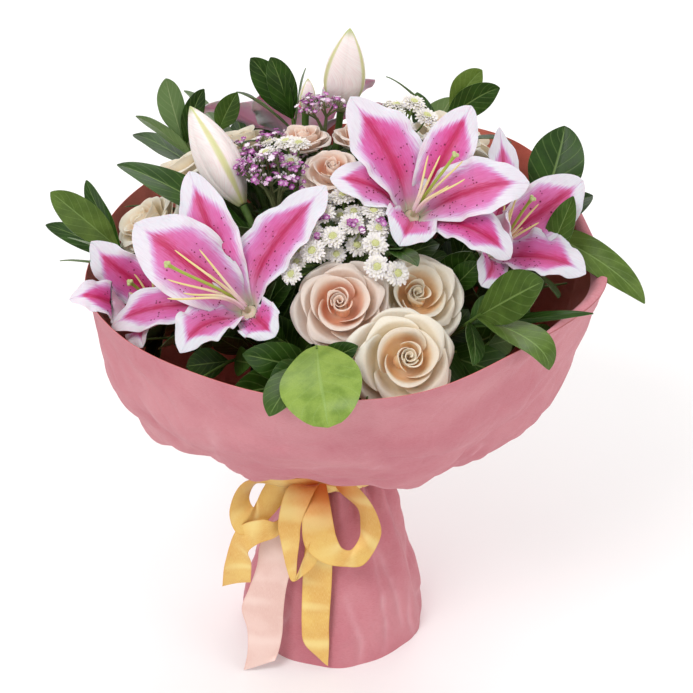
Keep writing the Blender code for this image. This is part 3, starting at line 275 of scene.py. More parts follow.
class Piece:
    """Points, faces and named values on the points, zero where none is given, for one mesh."""

    def __init__(self):
        self.points = []
        self.faces = []
        self.fields = {}
        self.size = 0

    def add(self, points, faces, **fields):
        points = np.asarray(points, float)
        if isinstance(faces, np.ndarray):
            self.faces += (faces + self.size).tolist()
        else:
            self.faces += [[v + self.size for v in face] for face in faces]
        for name, values in fields.items():
            rows = self.fields.setdefault(name, [])
            rows.append((self.size, np.broadcast_to(np.asarray(values, float), (len(points),))))
        self.points.append(points)
        self.size += len(points)

    def add_skin(self, grid, thickness, ring=False, **fields):
        """A thin closed body round a middle surface. The face to the left of its rows is the upper one,
        and the other has the value under, unless the caller gives its own."""
        rows, columns = grid.shape[:2]
        along = np.gradient(grid, axis=0)
        if ring:
            across = np.roll(grid, -1, axis=1) - np.roll(grid, 1, axis=1)
        else:
            across = np.gradient(grid, axis=1)
        offset = 0.5 * thickness * unit(np.cross(along, across))
        points = np.concatenate([(grid + offset).reshape(-1, 3), (grid - offset).reshape(-1, 3)])
        half = rows * columns
        index = np.arange(half).reshape(rows, columns)
        if ring:
            index = np.concatenate([index, index[:, :1]], axis=1)
        a, b = index[:-1, :-1].ravel(), index[:-1, 1:].ravel()
        d, c = index[1:, :-1].ravel(), index[1:, 1:].ravel()
        faces = [np.stack([a, d, c, b], axis=1), half + np.stack([a, b, c, d], axis=1)]
        edges = [index[0], index[-1][::-1]]
        if not ring:
            edges += [index[:, -1], index[:, 0][::-1]]
        for edge in edges:
            p, q = edge[:-1], edge[1:]
            faces.append(np.stack([p, q, half + q, half + p], axis=1))
        spread = {}
        for name, values in fields.items():
            flat = np.broadcast_to(np.asarray(values, float), (rows, columns)).ravel()
            spread[name] = np.concatenate([flat, flat])
        spread.setdefault("under", np.repeat([0.0, 1.0], half))
        self.add(points, np.concatenate(faces), **spread)

    def make(self, name, look, slot, replaces=()):
        mesh = bpy.data.meshes.new(name)
        points = np.concatenate(self.points) * MM
        points[:, 2] = np.maximum(points[:, 2], 0.0)
        mesh.from_pydata(points.tolist(), [], self.faces)
        for field, rows in self.fields.items():
            values = np.zeros(self.size, np.float32)
            for start, part in rows:
                values[start:start + len(part)] = part
            mesh.attributes.new(field, "FLOAT", "POINT").data.foreach_set("value", values)
        mesh.shade_smooth()
        mesh.set_sharp_from_angle(angle=math.radians(62.0))
        mesh.materials.append(look.material)
        made = bpy.data.objects.new(name, mesh)
        scene.collection.objects.link(made)
        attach(made, "root")
        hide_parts(*replaces)
        return made


def monotone(values, place):
    """A smooth curve through rows of values that never swings past them."""
    values = np.asarray(values, float)
    step = np.diff(values, axis=0)
    same = step[1:] * step[:-1] > 0
    total = np.where(same, step[1:] + step[:-1], 1.0)
    middle = np.where(same, 2 * step[1:] * step[:-1] / total, 0.0)
    slope = np.concatenate([step[:1], middle, step[-1:]])
    low = np.clip(np.floor(place).astype(int), 0, len(values) - 2)
    u = (place - low).reshape((-1,) + (1,) * (values.ndim - 1))
    start = (1 + 2 * u) * (1 - u) ** 2 * values[low] + u * (1 - u) ** 2 * slope[low]
    return start + u * u * (3 - 2 * u) * values[low + 1] - u * u * (1 - u) * slope[low + 1]


def eased_runs(values, place):
    """Rows of values joined by straight runs with rounded corners."""
    values = np.asarray(values, float)
    last = len(values) - 1
    room = np.minimum(CORNER_ROUNDING, np.minimum(place, last - place))
    total = 0.0
    for step in (-1.0, -0.5, 0.0, 0.5, 1.0):
        at = place + step * room
        low = np.clip(np.floor(at).astype(int), 0, last - 1)
        u = (at - low).reshape((-1,) + (1,) * (values.ndim - 1))
        total = total + (1 - u) * values[low] + u * values[low + 1]
    return total / 5


def around(rows, turns):
    """Values in eight directions, eased from one direction to the next."""
    rows = np.asarray(rows, float)
    place = 8 * (turns / (2 * math.pi)) % 8
    low = place.astype(int)
    share = 0.5 - 0.5 * np.cos(math.pi * (place - low))
    return (1 - share) * rows[:, low] + share * rows[:, (low + 1) % 8]


def crease(point, size, seed):
    """Crumpling: flat facets that meet in sharp valleys."""
    x, y, z = point / size
    return abs(noise.noise((x + seed, y, z)))


def turn_steps(count):
    """Equal steps of one turn, in radians."""
    return 2 * math.pi * np.arange(count) / count


def distance_along(path):
    """How far along a path each of its points lies."""
    return np.cumsum(np.linalg.norm(np.diff(path, axis=0, prepend=path[:1]), axis=1))


def round_axis(radius, turns, height):
    """Points at a distance from the bouquet's middle axis, at turns round it and at a height."""
    return np.stack([radius * np.cos(turns), radius * np.sin(turns), height + 0 * radius * turns], axis=-1)


def wrap_surface(place, turns):
    """The middle surface of the paper, at places counted in rings and turns in radians."""
    radius = eased_runs(around([r for r, _, _ in WRAP_RINGS], turns), place)
    height = eased_runs(around([h for _, h, _ in WRAP_RINGS], turns), place)
    gather = eased_runs([g for _, _, g in WRAP_RINGS], place)[:, None]
    collar = np.clip((place - COLLAR_FROM) / COLLAR_EASE, 0.0, 1.0)[:, None]
    waist = np.clip(gather / 6.0 - 0.3, 0.0, 1.0)
    pleats = np.cos(WRAP_GATHERS * turns)
    swags = 0.5 * np.cos(5 * turns + 0.4) + 0.3 * np.cos(7 * turns + 2.0) + 0.3 * np.cos(11 * turns + 1.0)
    tucks = np.cos(31 * turns + 1.0) + 0.7 * np.cos(43 * turns + 2.6 * np.sin(3 * turns))
    radius = radius + gather * ((1 - collar) * pleats + collar * swags) + 0.55 * waist * tucks
    signed = (turns + math.pi) % (2 * math.pi) - math.pi
    middle = 0.5 * (TURNED_RIM_FROM + TURNED_RIM_TO)
    turned = np.clip((0.5 * (TURNED_RIM_TO - TURNED_RIM_FROM) - np.abs(signed - middle)) / 0.35, 0.0, 1.0)
    past_edge = place - TURNED_RIM_RING + 0.03 * np.sin(2 * place)
    above_hem = np.clip(past_edge / 0.05, 0.0, 1.0)[:, None]
    radius = radius + TURNED_RIM_RISE * turned * above_hem
    return round_axis(radius, turns, height)


def wrap_grid():
    """The crumpled middle surface of the paper, and how much paler each point of it is along the creases."""
    middle = np.array([[np.mean(r), np.mean(h)] for r, h, _ in WRAP_RINGS])
    walked = distance_along(middle)
    place = np.interp(np.linspace(0, walked[-1], WRAP_ROWS), walked, np.arange(len(WRAP_RINGS)))
    turns = turn_steps(WRAP_COLUMNS)
    grid = wrap_surface(place, turns)
    along = np.gradient(grid, axis=0)
    across = np.roll(grid, -1, axis=1) - np.roll(grid, 1, axis=1)
    outward_way = unit(np.cross(across, along))
    rough = np.zeros(grid.shape[:2])
    for i in range(WRAP_ROWS):
        near_fold = math.exp(-(((place[i] - COLLAR_FOLD_RING - 0.15) / 0.55) ** 2))
        edge = min(1.0, i / 6, (WRAP_ROWS - 1 - i) / 4)
        calm = 0.15 if WAIST_RINGS[0] < place[i] < WAIST_RINGS[1] else 1.0
        for j in range(WRAP_COLUMNS):
            point = grid[i, j]
            coarse = crease(point, COARSE_CRUMPLE, 3.0) - MEAN_CRUMPLE
            fine = crease(point, FINE_CRUMPLE, 9.0) - MEAN_CRUMPLE
            depth = CREASE_DEPTH * (1.5 * coarse + 0.8 * fine) * 2
            depth += FOLD_CREASE_DEPTH * near_fold * (coarse + 0.8 * fine) * 2
            rough[i, j] = edge * calm * depth
    rough -= rough.mean(axis=1, keepdims=True) + 0.6 * rough.std(axis=1, keepdims=True)
    for spot, reach, depth in TUCKS:
        rough -= depth * np.exp(-((np.linalg.norm(grid - spot, axis=2) / reach) ** 2))
    draw = random.Random(12)
    creases = list(LONG_CREASES)
    for _ in range(MORE_CREASES):
        turn = draw.uniform(-25, 232)
        ring = draw.choice((draw.uniform(6.9, 8.5), draw.uniform(0.1, 2.4)))
        end = (turn + draw.uniform(-24, 24), ring + draw.uniform(0.3, 1.2) * (1 if ring < 5 else 0.6))
        width = draw.uniform(3.0, 5.5)
        depth = draw.uniform(1.6, 4.2) * draw.choice((1, 1, -0.7))
        creases.append(((turn, ring), end, width, depth))
    worn = np.zeros(rough.shape)
    for start, end, width, depth in creases:
        t = np.linspace(0.0, 1.0, CREASE_STEPS)
        at = np.radians(start[0] + (end[0] - start[0]) * t + 2.5 * np.sin(5.0 * t + start[0]))
        rings = start[1] + (end[1] - start[1]) * t
        line = np.array([wrap_surface(np.array([r]), np.array([a]))[0, 0] for r, a in zip(rings, at)])
        apart = np.linalg.norm(grid[:, :, None] - line, axis=3)
        nearest = apart.argmin(axis=2)
        taper = np.sin(np.pi * (0.04 + 0.92 * t[nearest])) ** 0.6
        rough -= 1.35 * depth * taper * np.exp(-apart.min(axis=2) / width)
        pale_line = np.exp(-((apart.min(axis=2) / CREASE_PALE_WIDTH) ** 2))
        worn += taper * pale_line * (0.4 + 0.15 * abs(depth))
    rough = np.maximum(rough, -DEEPEST_CREASE)
    grid = grid + rough[..., None] * outward_way
    grid[0, :, 2] = 0.0
    return grid, np.clip(worn, 0.0, 1.0)


look = Look("florist_paper", {"Specular IOR Level": 0.22, "Sheen Weight": 0.12})
outside = look.field("under")
blotch = look.noise(14.0, 5.0)
fibre = look.noise(420.0, 3.0, look.stretched((1.0, 1.0, 7.0)))
speck = look.noise(1700.0, 2.0)
blotchy = look.fade(blotch, 0.35, 0.68)
pink = look.mix(blotchy, "#C17681", "#CB8890")
brick = look.mix(blotchy, "#CB6456", "#D87A6B")
shade = look.mix(outside, brick, pink)
shade = look.mix(look.fade(fibre, 0.42, 0.72, 0.0, 0.22), shade, "#D98C94", "MULTIPLY")
# The paper is paler along its crease lines, in patches.
worn_share = look.times(look.field("worn"), look.fade(blotch, 0.40, 0.60, 0.15, 0.75))
shade = look.mix(worn_share, shade, "#DDA9B0")
look.give({"Base Color": shade, "Roughness": look.fade(speck, 0.2, 0.8, 0.62, 0.86)})
crackle = {"Vector": look.stretched((1.0, 1.0, 0.7)), "Scale": 34.0}
wrinkle = look.add("TexVoronoi", crackle, feature="DISTANCE_TO_EDGE")
relief = look.calc("MULTIPLY_ADD", look.fade(wrinkle, 0.0, 0.12), 0.9, fibre)
look.relief(look.calc("MULTIPLY_ADD", blotch, 1.2, relief), 0.36)

paper = Piece()
paper_grid, paper_worn = wrap_grid()
paper.add_skin(paper_grid, PAPER_THICKNESS, ring=True, worn=paper_worn)

# The strip of the rim that is folded in
column_turns = 2 * math.pi * np.arange(WRAP_COLUMNS + 1) / WRAP_COLUMNS
rim = np.append(paper_grid[-1], paper_grid[-1, :1], axis=0)
lip_turns = np.linspace(LIP_FROM, LIP_TO, LIP_STEPS)
lip_places = lip_turns % (2 * math.pi)
lip_top = np.stack([np.interp(lip_places, column_turns, rim[:, axis]) for axis in range(3)], axis=1)
lip_fade = np.sin(np.pi * np.linspace(0.0, 1.0, LIP_STEPS)) ** 0.5
s = np.linspace(0.0, 1.0, LIP_ROWS)[:, None]
drop = 3.0 * np.sin(np.pi * s) - 5.0 * s + 0.8 * np.sin(9 * lip_turns) * s
lip = lip_top - round_axis(0.9 * LIP_WIDTH * s * lip_fade, lip_turns, 0.0)
lip[..., 2] += 0.6 + drop * lip_fade
paper.add_skin(lip[:, ::-1], PAPER_THICKNESS, under=1.0)
paper.make("florist_paper_wrap", look, "wrap_paper", ["paper_wrap"])


# Twine: six turns of two-ply jute string, wound tight and side by side round the waist of the
# stems, under the paper, so that the bundle keeps its twist.
WAIST_HEIGHT = 146.0
TIE_RADIUS = 23.4
TIE_HALF_HEIGHT = 4.0
TWINE_TURNS = 6
TWINE_STRAND = 0.52
TWINE_TWIST = 9.0
TWINE_STEPS = 520


def spoke(angle, right, back):
    """The way out at an angle, or at each of many, between two ways at right angles."""
    return np.cos(angle)[..., None] * right + np.sin(angle)[..., None] * back


def tube_faces(rows, sides):
    """The faces of a tube of rings, closed at both ends."""
    index = np.arange(rows * sides).reshape(rows, sides)
    index = np.concatenate([index, index[:, :1]], axis=1)
    corners = (index[:-1, :-1], index[:-1, 1:], index[1:, 1:], index[1:, :-1])
    quads = np.stack([corner.ravel() for corner in corners], axis=1).tolist()
    return quads + [list(range(sides))[::-1], list(range((rows - 1) * sides, rows * sides))]


def rod(path, radii, sides):
    """Points and faces of a round stem along a path, closed at both ends."""
    path = np.asarray(path, float)
    radii = np.broadcast_to(np.asarray(radii, float), (len(path),))
    tangents = unit(np.gradient(path, axis=0))
    reference = np.array([1.0, 0.0, 0.0]) if abs(tangents[0][0]) < 0.8 else np.array([0.0, 1.0, 0.0])
    angles = turn_steps(sides)
    points = np.zeros((len(path), sides, 3))
    for i, tangent in enumerate(tangents):
        reference = unit(reference - np.dot(reference, tangent) * tangent)
        other = np.cross(tangent, reference)
        points[i] = path[i] + radii[i] * spoke(angles, reference, other)
    return points.reshape(-1, 3), tube_faces(len(path), sides)


look = Look("jute_twine", {"Roughness": 0.92, "Specular IOR Level": 0.15, "Sheen Weight": 0.3})
hairs = look.noise(2600.0, 4.0)
look.give({"Base Color": look.mix(hairs, "#7A5B32", "#C2A26B")})
look.relief(hairs, 0.2)
twine = Piece()
for ply in (0.0, math.pi):
    turns = np.linspace(0.0, 2 * math.pi * TWINE_TURNS, TWINE_STEPS)
    climb = np.linspace(-TIE_HALF_HEIGHT + 1.1, TIE_HALF_HEIGHT - 1.1, TWINE_STEPS)
    twist = TWINE_TWIST * turns + ply
    radius = TIE_RADIUS - 0.9 + TWINE_STRAND * np.cos(twist)
    line = round_axis(radius, turns, WAIST_HEIGHT + climb + TWINE_STRAND * np.sin(twist))
    twine.add(*rod(line, TWINE_STRAND, 6))
twine.make("jute_twine_binding", look, "jute_twine", ["twine_binding"])


# Satin ribbons: a golden yellow one, 22 mm wide, round the waist with a knot, three loops and two
# tails, and a blush one, 26 mm wide, that hangs from under the knot. Each strip is given by its two
# edges, station by station.
RIBBON_THICKNESS = 0.35
BAND_RADIUS = 37.4
BAND_FOOT = 137.0
BAND_TOP = 152.0
KNOT = [(-27, -29, 145), (-20, -38, 146), (-9, -42, 146), (-1, -41, 145)]
KNOT_RADII = [4.0, 6.0, 6.0, 4.0]
KNOT_SIDES = 28
BAND_ROWS = 9
BAND_COLUMNS = 96
NEAR_KNOT = 24.0
STRIP_STEPS = 10
STRIP_COLUMNS = 11
YELLOW_STRIPS = {
    "left_loop": [
        ((-15, -45, 155), (-15, -45, 146)), ((-38, -52, 159), (-39, -48, 148)),
        ((-69, -64, 165), (-60, -47, 152)), ((-81, -68, 142), (-67, -50, 142)),
        ((-76, -69, 121), (-64, -56, 136)), ((-62, -62, 118), (-61, -50, 138)),
        ((-48, -54, 129), (-56, -47, 148)), ((-36, -49, 142), (-48, -45, 157)),
        ((-20, -45, 146), (-22, -44, 154)),
    ],
    "left_tail": [
        ((-22, -46, 144), (-26, -45, 150)), ((-36, -58, 124), (-38, -54, 134)),
        ((-46, -66, 116), (-47, -62, 127)), ((-60, -70, 112), (-58, -65, 131)),
        ((-68, -70, 104), (-76, -66, 123)), ((-66, -67, 91), (-86, -64, 90)),
        ((-67, -64, 71), (-89, -60, 64)),
    ],
    "middle_loop": [
        ((-14, -47, 151), (-24, -47, 152)), ((-17, -56, 152), (-38, -54, 152)),
        ((-27, -68, 132), (-45, -66, 130)), ((-29, -74, 117), (-43, -70, 113)),
        ((-31, -78, 100), (-39, -74, 92)), ((-31, -80, 87), (-35, -77, 82)),
        ((-27, -81, 103), (-28, -80, 88)), ((-19, -72, 122), (-15, -74, 101)),
        ((-16, -56, 140), (-8, -58, 130)), ((-16, -47, 147), (-8, -47, 146)),
    ],
    "right_loop": [
        ((-18, -46, 150), (-9, -46, 150)), ((-25, -60, 141), (-6, -59, 141)),
        ((-27, -70, 128), (-3, -69, 127)), ((-24, -76, 112), (-1, -72, 119)),
        ((-11, -79, 101), (3, -74, 111)), ((5, -80, 98), (10, -72, 108)),
        ((20, -78, 99), (16, -67, 115)), ((32, -70, 118), (17, -61, 122)),
        ((30, -63, 132), (15, -55, 134)), ((21, -56, 146), (3, -49, 143)),
        ((8, -49, 155), (-3, -44, 147)), ((-9, -45, 153), (-9, -45, 147)),
    ],
    "right_tail": [
        ((-20, -47, 146), (-11, -47, 146)), ((-23, -56, 124), (-4, -56, 124)),
        ((-25, -62, 104), (-4, -62, 104)), ((-27, -69, 77), (-5, -69, 73)),
        ((-28, -77, 40), (-7, -77, 41)), ((-26, -80, 24), (-7, -80, 24)),
        ((-15, -83, 12), (-8, -84, 5)),
    ],
}
BLUSH_STRIP = [
    ((-24, -42, 134), (-19, -43, 138)), ((-42, -48, 119), (-29, -46, 128)),
    ((-58, -54, 104), (-36, -54, 106)), ((-62, -60, 84), (-36, -61, 85)),
    ((-68, -64, 66), (-40, -66, 65)), ((-74, -69, 50), (-42, -71, 49)),
    ((-70, -75, 34), (-43, -77, 32)), ((-70, -80, 16), (-46, -81, 17)),
    ((-73, -84, 1), (-49, -85, 11)),
]


def through(stations, steps):
    """A smooth run through stations, with some steps between each two."""
    stations = np.asarray(stations, float)
    padded = np.concatenate([2 * stations[:1] - stations[1:2], stations, 2 * stations[-1:] - stations[-2:-1]])
    rows = []
    for i in range(len(stations) - 1):
        p, q, r, s = padded[i:i + 4]
        for u in np.arange(steps) / steps:
            bend = (2 * p - 5 * q + 4 * r - s) * u * u + (3 * (q - r) + s - p) * u ** 3
            rows.append(0.5 * (2 * q + (r - p) * u + bend))
    rows.append(stations[-1])
    return np.array(rows)


def ribbon_strip(piece, stations, bulge):
    """A strip between two edges, its middle raised by the bulge."""
    edges = through(stations, STRIP_STEPS)
    v = np.linspace(0.0, 1.0, STRIP_COLUMNS)[None, :, None]
    grid = (1 - v) * edges[:, None, 0] + v * edges[:, None, 1]
    lift = unit(np.cross(np.gradient(grid, axis=0), np.gradient(grid, axis=1)))
    grid = grid + bulge * np.sin(np.pi * v) * lift
    width = np.linalg.norm(edges[:, 1] - edges[:, 0], axis=1)
    from_knot = np.linalg.norm(grid - KNOT[2], axis=2)
    piece.add_skin(
        grid,
        RIBBON_THICKNESS,
        long=distance_along(grid[:, STRIP_COLUMNS // 2])[:, None],
        wide=width[:, None] * v[..., 0],
        across=2 * v[..., 0] - 1,
        near=np.exp(-((from_knot / NEAR_KNOT) ** 2)),
    )


def satin(name, light, middle, deep, shadow):
    """Warp-faced satin, smooth along the ribbon, with a fine weft rib, a woven selvedge and painted shade and
    highlights.
    """
    look = Look(name, {"Metallic": 0.22, "Specular IOR Level": 0.6, "Anisotropic": 0.55})
    threads = look.streaks(7.0, 0.35, 3.0)
    weft = look.calc("SINE", look.times(look.field("long"), 12.0))
    # Painted shade: random patches eased from the middle tone to the deep tone stand in for shade in the
    # ribbon's folds.
    folds = look.noise(38.0, 3.0)
    tone = look.mix(look.fade(folds, 0.35, 0.65), deep, middle)
    tone = look.mix(look.fade(threads, 0.35, 0.75, 0.15, 0.6), tone, light)
    # Painted highlight: broad pale bands across the ribbon, where satin would catch the light.
    tone = look.mix(look.fade(look.streaks(0.012, 0.05, 0.5), 0.48, 0.68, 0.0, 0.85), tone, light)
    tone = look.mix(look.field("near"), tone, shadow)
    selvedge = look.fade(look.calc("ABSOLUTE", look.field("across")), 0.90, 0.97)
    look.give({
        "Base Color": look.mix(look.times(selvedge, 0.35), tone, deep),
        "Roughness": look.fade(threads, 0.2, 0.8, 0.30, 0.44),
        "Sheen Weight": 0.15,
    })
    height = look.calc("MULTIPLY_ADD", weft, 0.12, threads)
    look.relief(look.calc("MULTIPLY_ADD", selvedge, 0.6, height), 0.07)
    return look


yellow_look = satin("yellow_satin", "#F0DD92", "#DFB04C", "#D2932F", "#D96F1E")
yellow = Piece()
for stations in YELLOW_STRIPS.values():
    ribbon_strip(yellow, stations, 1.2)
band_turns = turn_steps(BAND_COLUMNS)
s = np.linspace(0.0, 1.0, BAND_ROWS)[:, None]
band_radius = BAND_RADIUS + 0.5 * np.sin(math.pi * s) + 0.5 * np.cos(9 * band_turns + 7 * s)
climb = (BAND_TOP - BAND_FOOT) * s
band = round_axis(band_radius, band_turns, BAND_FOOT + climb)
yellow.add_skin(band, RIBBON_THICKNESS, ring=True, wide=climb, long=BAND_RADIUS * band_turns[None])
knot_line = through(KNOT, 8)
knot_radii = through(np.array(KNOT_RADII)[:, None], 8)[:, 0]
knot_points, knot_faces = rod(knot_line, knot_radii, KNOT_SIDES)
knot_middle = np.repeat(knot_line, KNOT_SIDES, axis=0)
knot_angle = np.tile(turn_steps(KNOT_SIDES), len(knot_line))
knot_points = knot_middle + (knot_points - knot_middle) * (1 + 0.06 * np.cos(7 * knot_angle))[:, None]
knot_steps = np.repeat(np.arange(len(knot_line)), KNOT_SIDES)
yellow.add(knot_points, knot_faces, wide=knot_angle * 3, long=knot_steps)
yellow_ribbon = yellow.make("yellow_satin_ribbon", yellow_look, "yellow_satin", ["ribbon_yellow"])

blush_look = satin("blush_satin", "#F1D8CE", "#E6C3B8", "#DBB0A4", "#D29A88")
blush = Piece()
ribbon_strip(blush, BLUSH_STRIP, 0.8)
blush_ribbon = blush.make("blush_satin_ribbon", blush_look, "blush_satin", ["ribbon_blush"])


# Lilies: pink oriental lilies with white margins. Each has long tepals that grow from a small cup,
# wide and narrow in turn, with a crimson midrib, dark raised spots towards the throat and ruffled
# margins.
# Each lily: the foot of its cup, the way that it opens, its style, then its tepals as tip, half
# width and how far the tip curls back
LILIES = {
    "front_left": ((-60, -90, 326), (-0.40, -0.44, 0.80), (-55, -31, 59), (
        ((-141, -65, 385), 23, 0.5), ((-103, -46, 416), 16, 0.3), ((-8, -50, 407), 20, 0.3),
        ((-160, -76, 308), 14, 0.9), ((-107, -140, 326), 17, 0.9), ((-42, -138, 338), 13, 0.9),
    )),
    "front_right": ((52, -28, 368), (0.25, -0.46, 0.84), (30, -12, 58), (
        ((9, 0, 451), 22, 0.2), ((95, 10, 439), 15, 0.4), ((135, -35, 401), 20, 0.6),
        ((-5, -45, 410), 15, 0.9), ((43, -84, 378), 16, 1.0), ((121, -70, 360), 15, 1.0),
    )),
    "right": ((104, -14, 332), (0.62, -0.40, 0.67), (34, -16, 54), (
        ((117, 30, 412), 14, 0.3), ((178, 12, 378), 18, 0.4), ((177, -47, 334), 20, 0.4),
        ((101, -74, 340), 13, 0.9), ((118, -54, 384), 11, 0.4),
    )),
    "left": ((-114, -42, 296), (-0.72, -0.36, 0.60), (-33, -20, 40), (
        ((-177, -25, 348), 16, 0.3), ((-190, -66, 324), 13, 0.8), ((-136, -104, 308), 15, 0.7),
        ((-122, -15, 356), 12, 0.1),
    )),
    "back": ((-30, 122, 334), (-0.12, 0.66, 0.74), (-10, 40, 50), (
        ((-58, 98, 405), 16, 0.2), ((28, 138, 398), 20, 0.5), ((52, 168, 352), 15, 0.7),
        ((-30, 196, 350), 19, 0.8), ((-106, 168, 352), 16, 0.7), ((-104, 118, 384), 20, 0.5),
    )),
}
UP = np.array([0.0, 0.0, 1.0])
LILY_CUP_RADIUS = 6.0
TEPAL_THICKNESS = 0.5
TEPAL_ROWS = 38
TEPAL_COLUMNS = 21
TEPAL_FULLNESS = 1.2
PAPILLAE = 46


def swell(s, peak, start, end, sharpness=1.0):
    """A width that grows from start to 1 at the peak and falls to end at the tip."""
    rising = start + (1.0 - start) * np.sin(0.5 * np.pi * np.minimum(s / peak, 1.0))
    falling = np.cos(0.5 * np.pi * np.clip((s - peak) / (1.0 - peak), 0.0, 1.0))
    return np.where(s < peak, rising, end + (1.0 - end) * np.abs(falling) ** sharpness)


def bezier(start, first, second, end, count):
    """Points along a cubic curve."""
    s = np.linspace(0.0, 1.0, count)[:, None]
    points = [np.asarray(p, float) for p in (start, first, second, end)]
    weights = ((1 - s) ** 3, 3 * s * (1 - s) ** 2, 3 * s * s * (1 - s), s**3)
    return sum(w * p for w, p in zip(weights, points))


def blade(spine, widths, face, columns, lift, ripple=0.0):
    """The middle surface of a petal or leaf: its spine and half widths, the way its upper side looks,
    how far it is lifted as a share of its half width, and a ripple in millimetres."""
    tangents = unit(np.gradient(spine, axis=0))
    normals = unit(face - (tangents @ face)[:, None] * tangents)
    side = np.cross(normals, tangents)
    v = np.linspace(-1.0, 1.0, columns)[None, :, None]
    rise = widths[:, None] * lift + ripple
    grid = spine[:, None] + widths[:, None, None] * v * side[:, None] + rise[..., None] * normals[:, None]
    return grid, normals, side


def blade_fields(spine, widths, columns):
    """Where each point of a blade is: along and across it, as shares and in millimetres."""
    v = np.linspace(-1.0, 1.0, columns)[None, :]
    return {
        "along": np.linspace(0.0, 1.0, len(spine))[:, None],
        "across": v,
        "long": distance_along(spine)[:, None],
        "wide": widths[:, None] * v,
    }


def lily_look():
    """White margins, a pink face with a crimson midrib, and a pale back."""
    look = Look("lily_petal", {"Specular IOR Level": 0.35, "Subsurface Radius": (0.004, 0.0016, 0.002)})
    along = look.field("along")
    across = look.calc("ABSOLUTE", look.field("across"))
    under = look.field("under")
    streak = look.streaks(1.1, 0.10)
    cloud = look.noise(95.0, 4.0)
    uneven = look.calc("MULTIPLY_ADD", look.calc("SUBTRACT", streak, 0.5), 0.42, across)
    end = look.fade(along, 0.60, 1.0, 0.0, 0.92)
    reach = look.calc("ADD", uneven, end)
    tone = look.mix(look.fade(uneven, 0.06, 0.66), "#C4216F", "#CF559D")
    tone = look.mix(look.fade(cloud, 0.35, 0.7, 0.0, 0.35), tone, "#CF74B4")
    tone = look.mix(look.times(look.field("tone"), 0.22), tone, "#E2A8D0")
    tone = look.mix(look.fade(along, 0.05, 0.36, 0.65, 0.0), tone, "#E0B0D2")
    centre = look.times(look.fade(uneven, 0.0, 0.24, 0.9, 0.0), look.fade(along, 0.08, 0.32))
    centre = look.times(centre, look.fade(along, 0.72, 0.94, 1.0, 0.0))
    tone = look.mix(centre, tone, "#B0144F")
    halo = look.mix(look.fade(reach, 0.56, 0.80), tone, "#D2A0CC")
    petal = look.mix(look.fade(reach, 0.72, 0.94), halo, "#DED5DF")
    throat = look.fade(along, 0.0, 0.13, 0.8, 0.0)
    petal = look.mix(throat, petal, "#DDE0B8")
    petal = look.mix(look.fade(streak, 0.30, 0.62, 0.16, 0.0), petal, "#D7A3C2", "MULTIPLY")
    petal = look.mix(look.field("spot"), petal, "#7C1040")
    back = look.mix(look.fade(across, 0.1, 0.9), "#E6B9CF", "#EBE0E8")
    look.give({
        "Base Color": look.mix(look.times(under, 0.9), petal, back),
        "Roughness": look.fade(streak, 0.3, 0.7, 0.40, 0.56),
        "Subsurface Weight": 0.4,
        "Sheen Weight": 0.08,
    })
    look.relief(look.calc("MULTIPLY_ADD", cloud, 0.4, streak), 0.34)
    return look


def tepal(piece, throat, axis, tip, half_width, curl, inner, draw):
    """One ruffled tepal from the cup to its tip, with the raised spots on its lower half."""
    tip = np.array(tip, float)
    chord = tip - throat
    length = np.linalg.norm(chord)
    radial = unit(chord - np.dot(chord, axis) * axis)
    start = throat + LILY_CUP_RADIUS * radial
    leaving = unit(0.80 * axis + 0.45 * radial)
    arriving = unit(chord / length - curl * axis + 0.25 * radial)
    spine = bezier(start, start + 0.42 * length * leaving, tip - 0.36 * length * arriving, tip, TEPAL_ROWS)
    s = np.linspace(0.0, 1.0, TEPAL_ROWS)
    shift = 1.7 if inner else -1.7
    spine += shift * radial * np.sin(np.pi * s[:, None]).clip(0.0) ** 0.5
    widths = np.maximum(TEPAL_FULLNESS * half_width * swell(s, 0.54, 0.24, 0.0, 0.62), 0.5)
    v = np.linspace(-1.0, 1.0, TEPAL_COLUMNS)[None, :]
    s = s[:, None]
    cup = 0.38 * (1 - s) ** 1.5 - 0.08 * s * s
    lift = 0.10 * np.sqrt(v * v + 0.004) + cup * v * v + 0.08 * np.sin(3 * np.pi * s - 1.3 * v) * np.abs(v)
    phase = draw.uniform(0, 6.28)
    waves = draw.uniform(3.0, 4.2)
    margin = np.abs(v) ** 2.6 * np.sin(np.pi * s) ** 0.7
    ripple = margin * (2.5 * np.sin(2 * np.pi * waves * s + phase + 1.9 * np.sign(v)) - 0.6)
    ripple = ripple + 0.6 * margin * np.sin(2 * np.pi * 2.3 * waves * s + 2 * phase)
    ripple = ripple - (1.5 * (1 - s) + 0.4) * np.exp(-((v / 0.09) ** 2))
    ripple = ripple + 0.22 * np.sin(9 * np.pi * v) * np.sin(np.pi * s)
    grid, normals, side = blade(spine, widths, axis, TEPAL_COLUMNS, lift, ripple)
    piece.add_skin(
        grid, TEPAL_THICKNESS, tone=draw.random(), **blade_fields(spine, widths, TEPAL_COLUMNS)
    )
    for _ in range(PAPILLAE):
        row = draw.randint(4, int(TEPAL_ROWS * 0.58))
        column = draw.randint(3, TEPAL_COLUMNS - 4)
        if abs(column - TEPAL_COLUMNS // 2) < 2:
            continue
        middle = grid[row, column] + 0.2 * normals[row]
        size = draw.uniform(0.45, 0.85)
        ways = (side[row], np.cross(side[row], normals[row]))
        points = [middle + size * spoke(turn, *ways) for turn in (0.0, 1.26, 2.51, 3.77, 5.03)]
        points.append(middle + 1.0 * size * normals[row])
        piece.add(points, [(k, (k + 1) % 5, 5) for k in range(5)], spot=1.0, along=0.3, across=0.3)


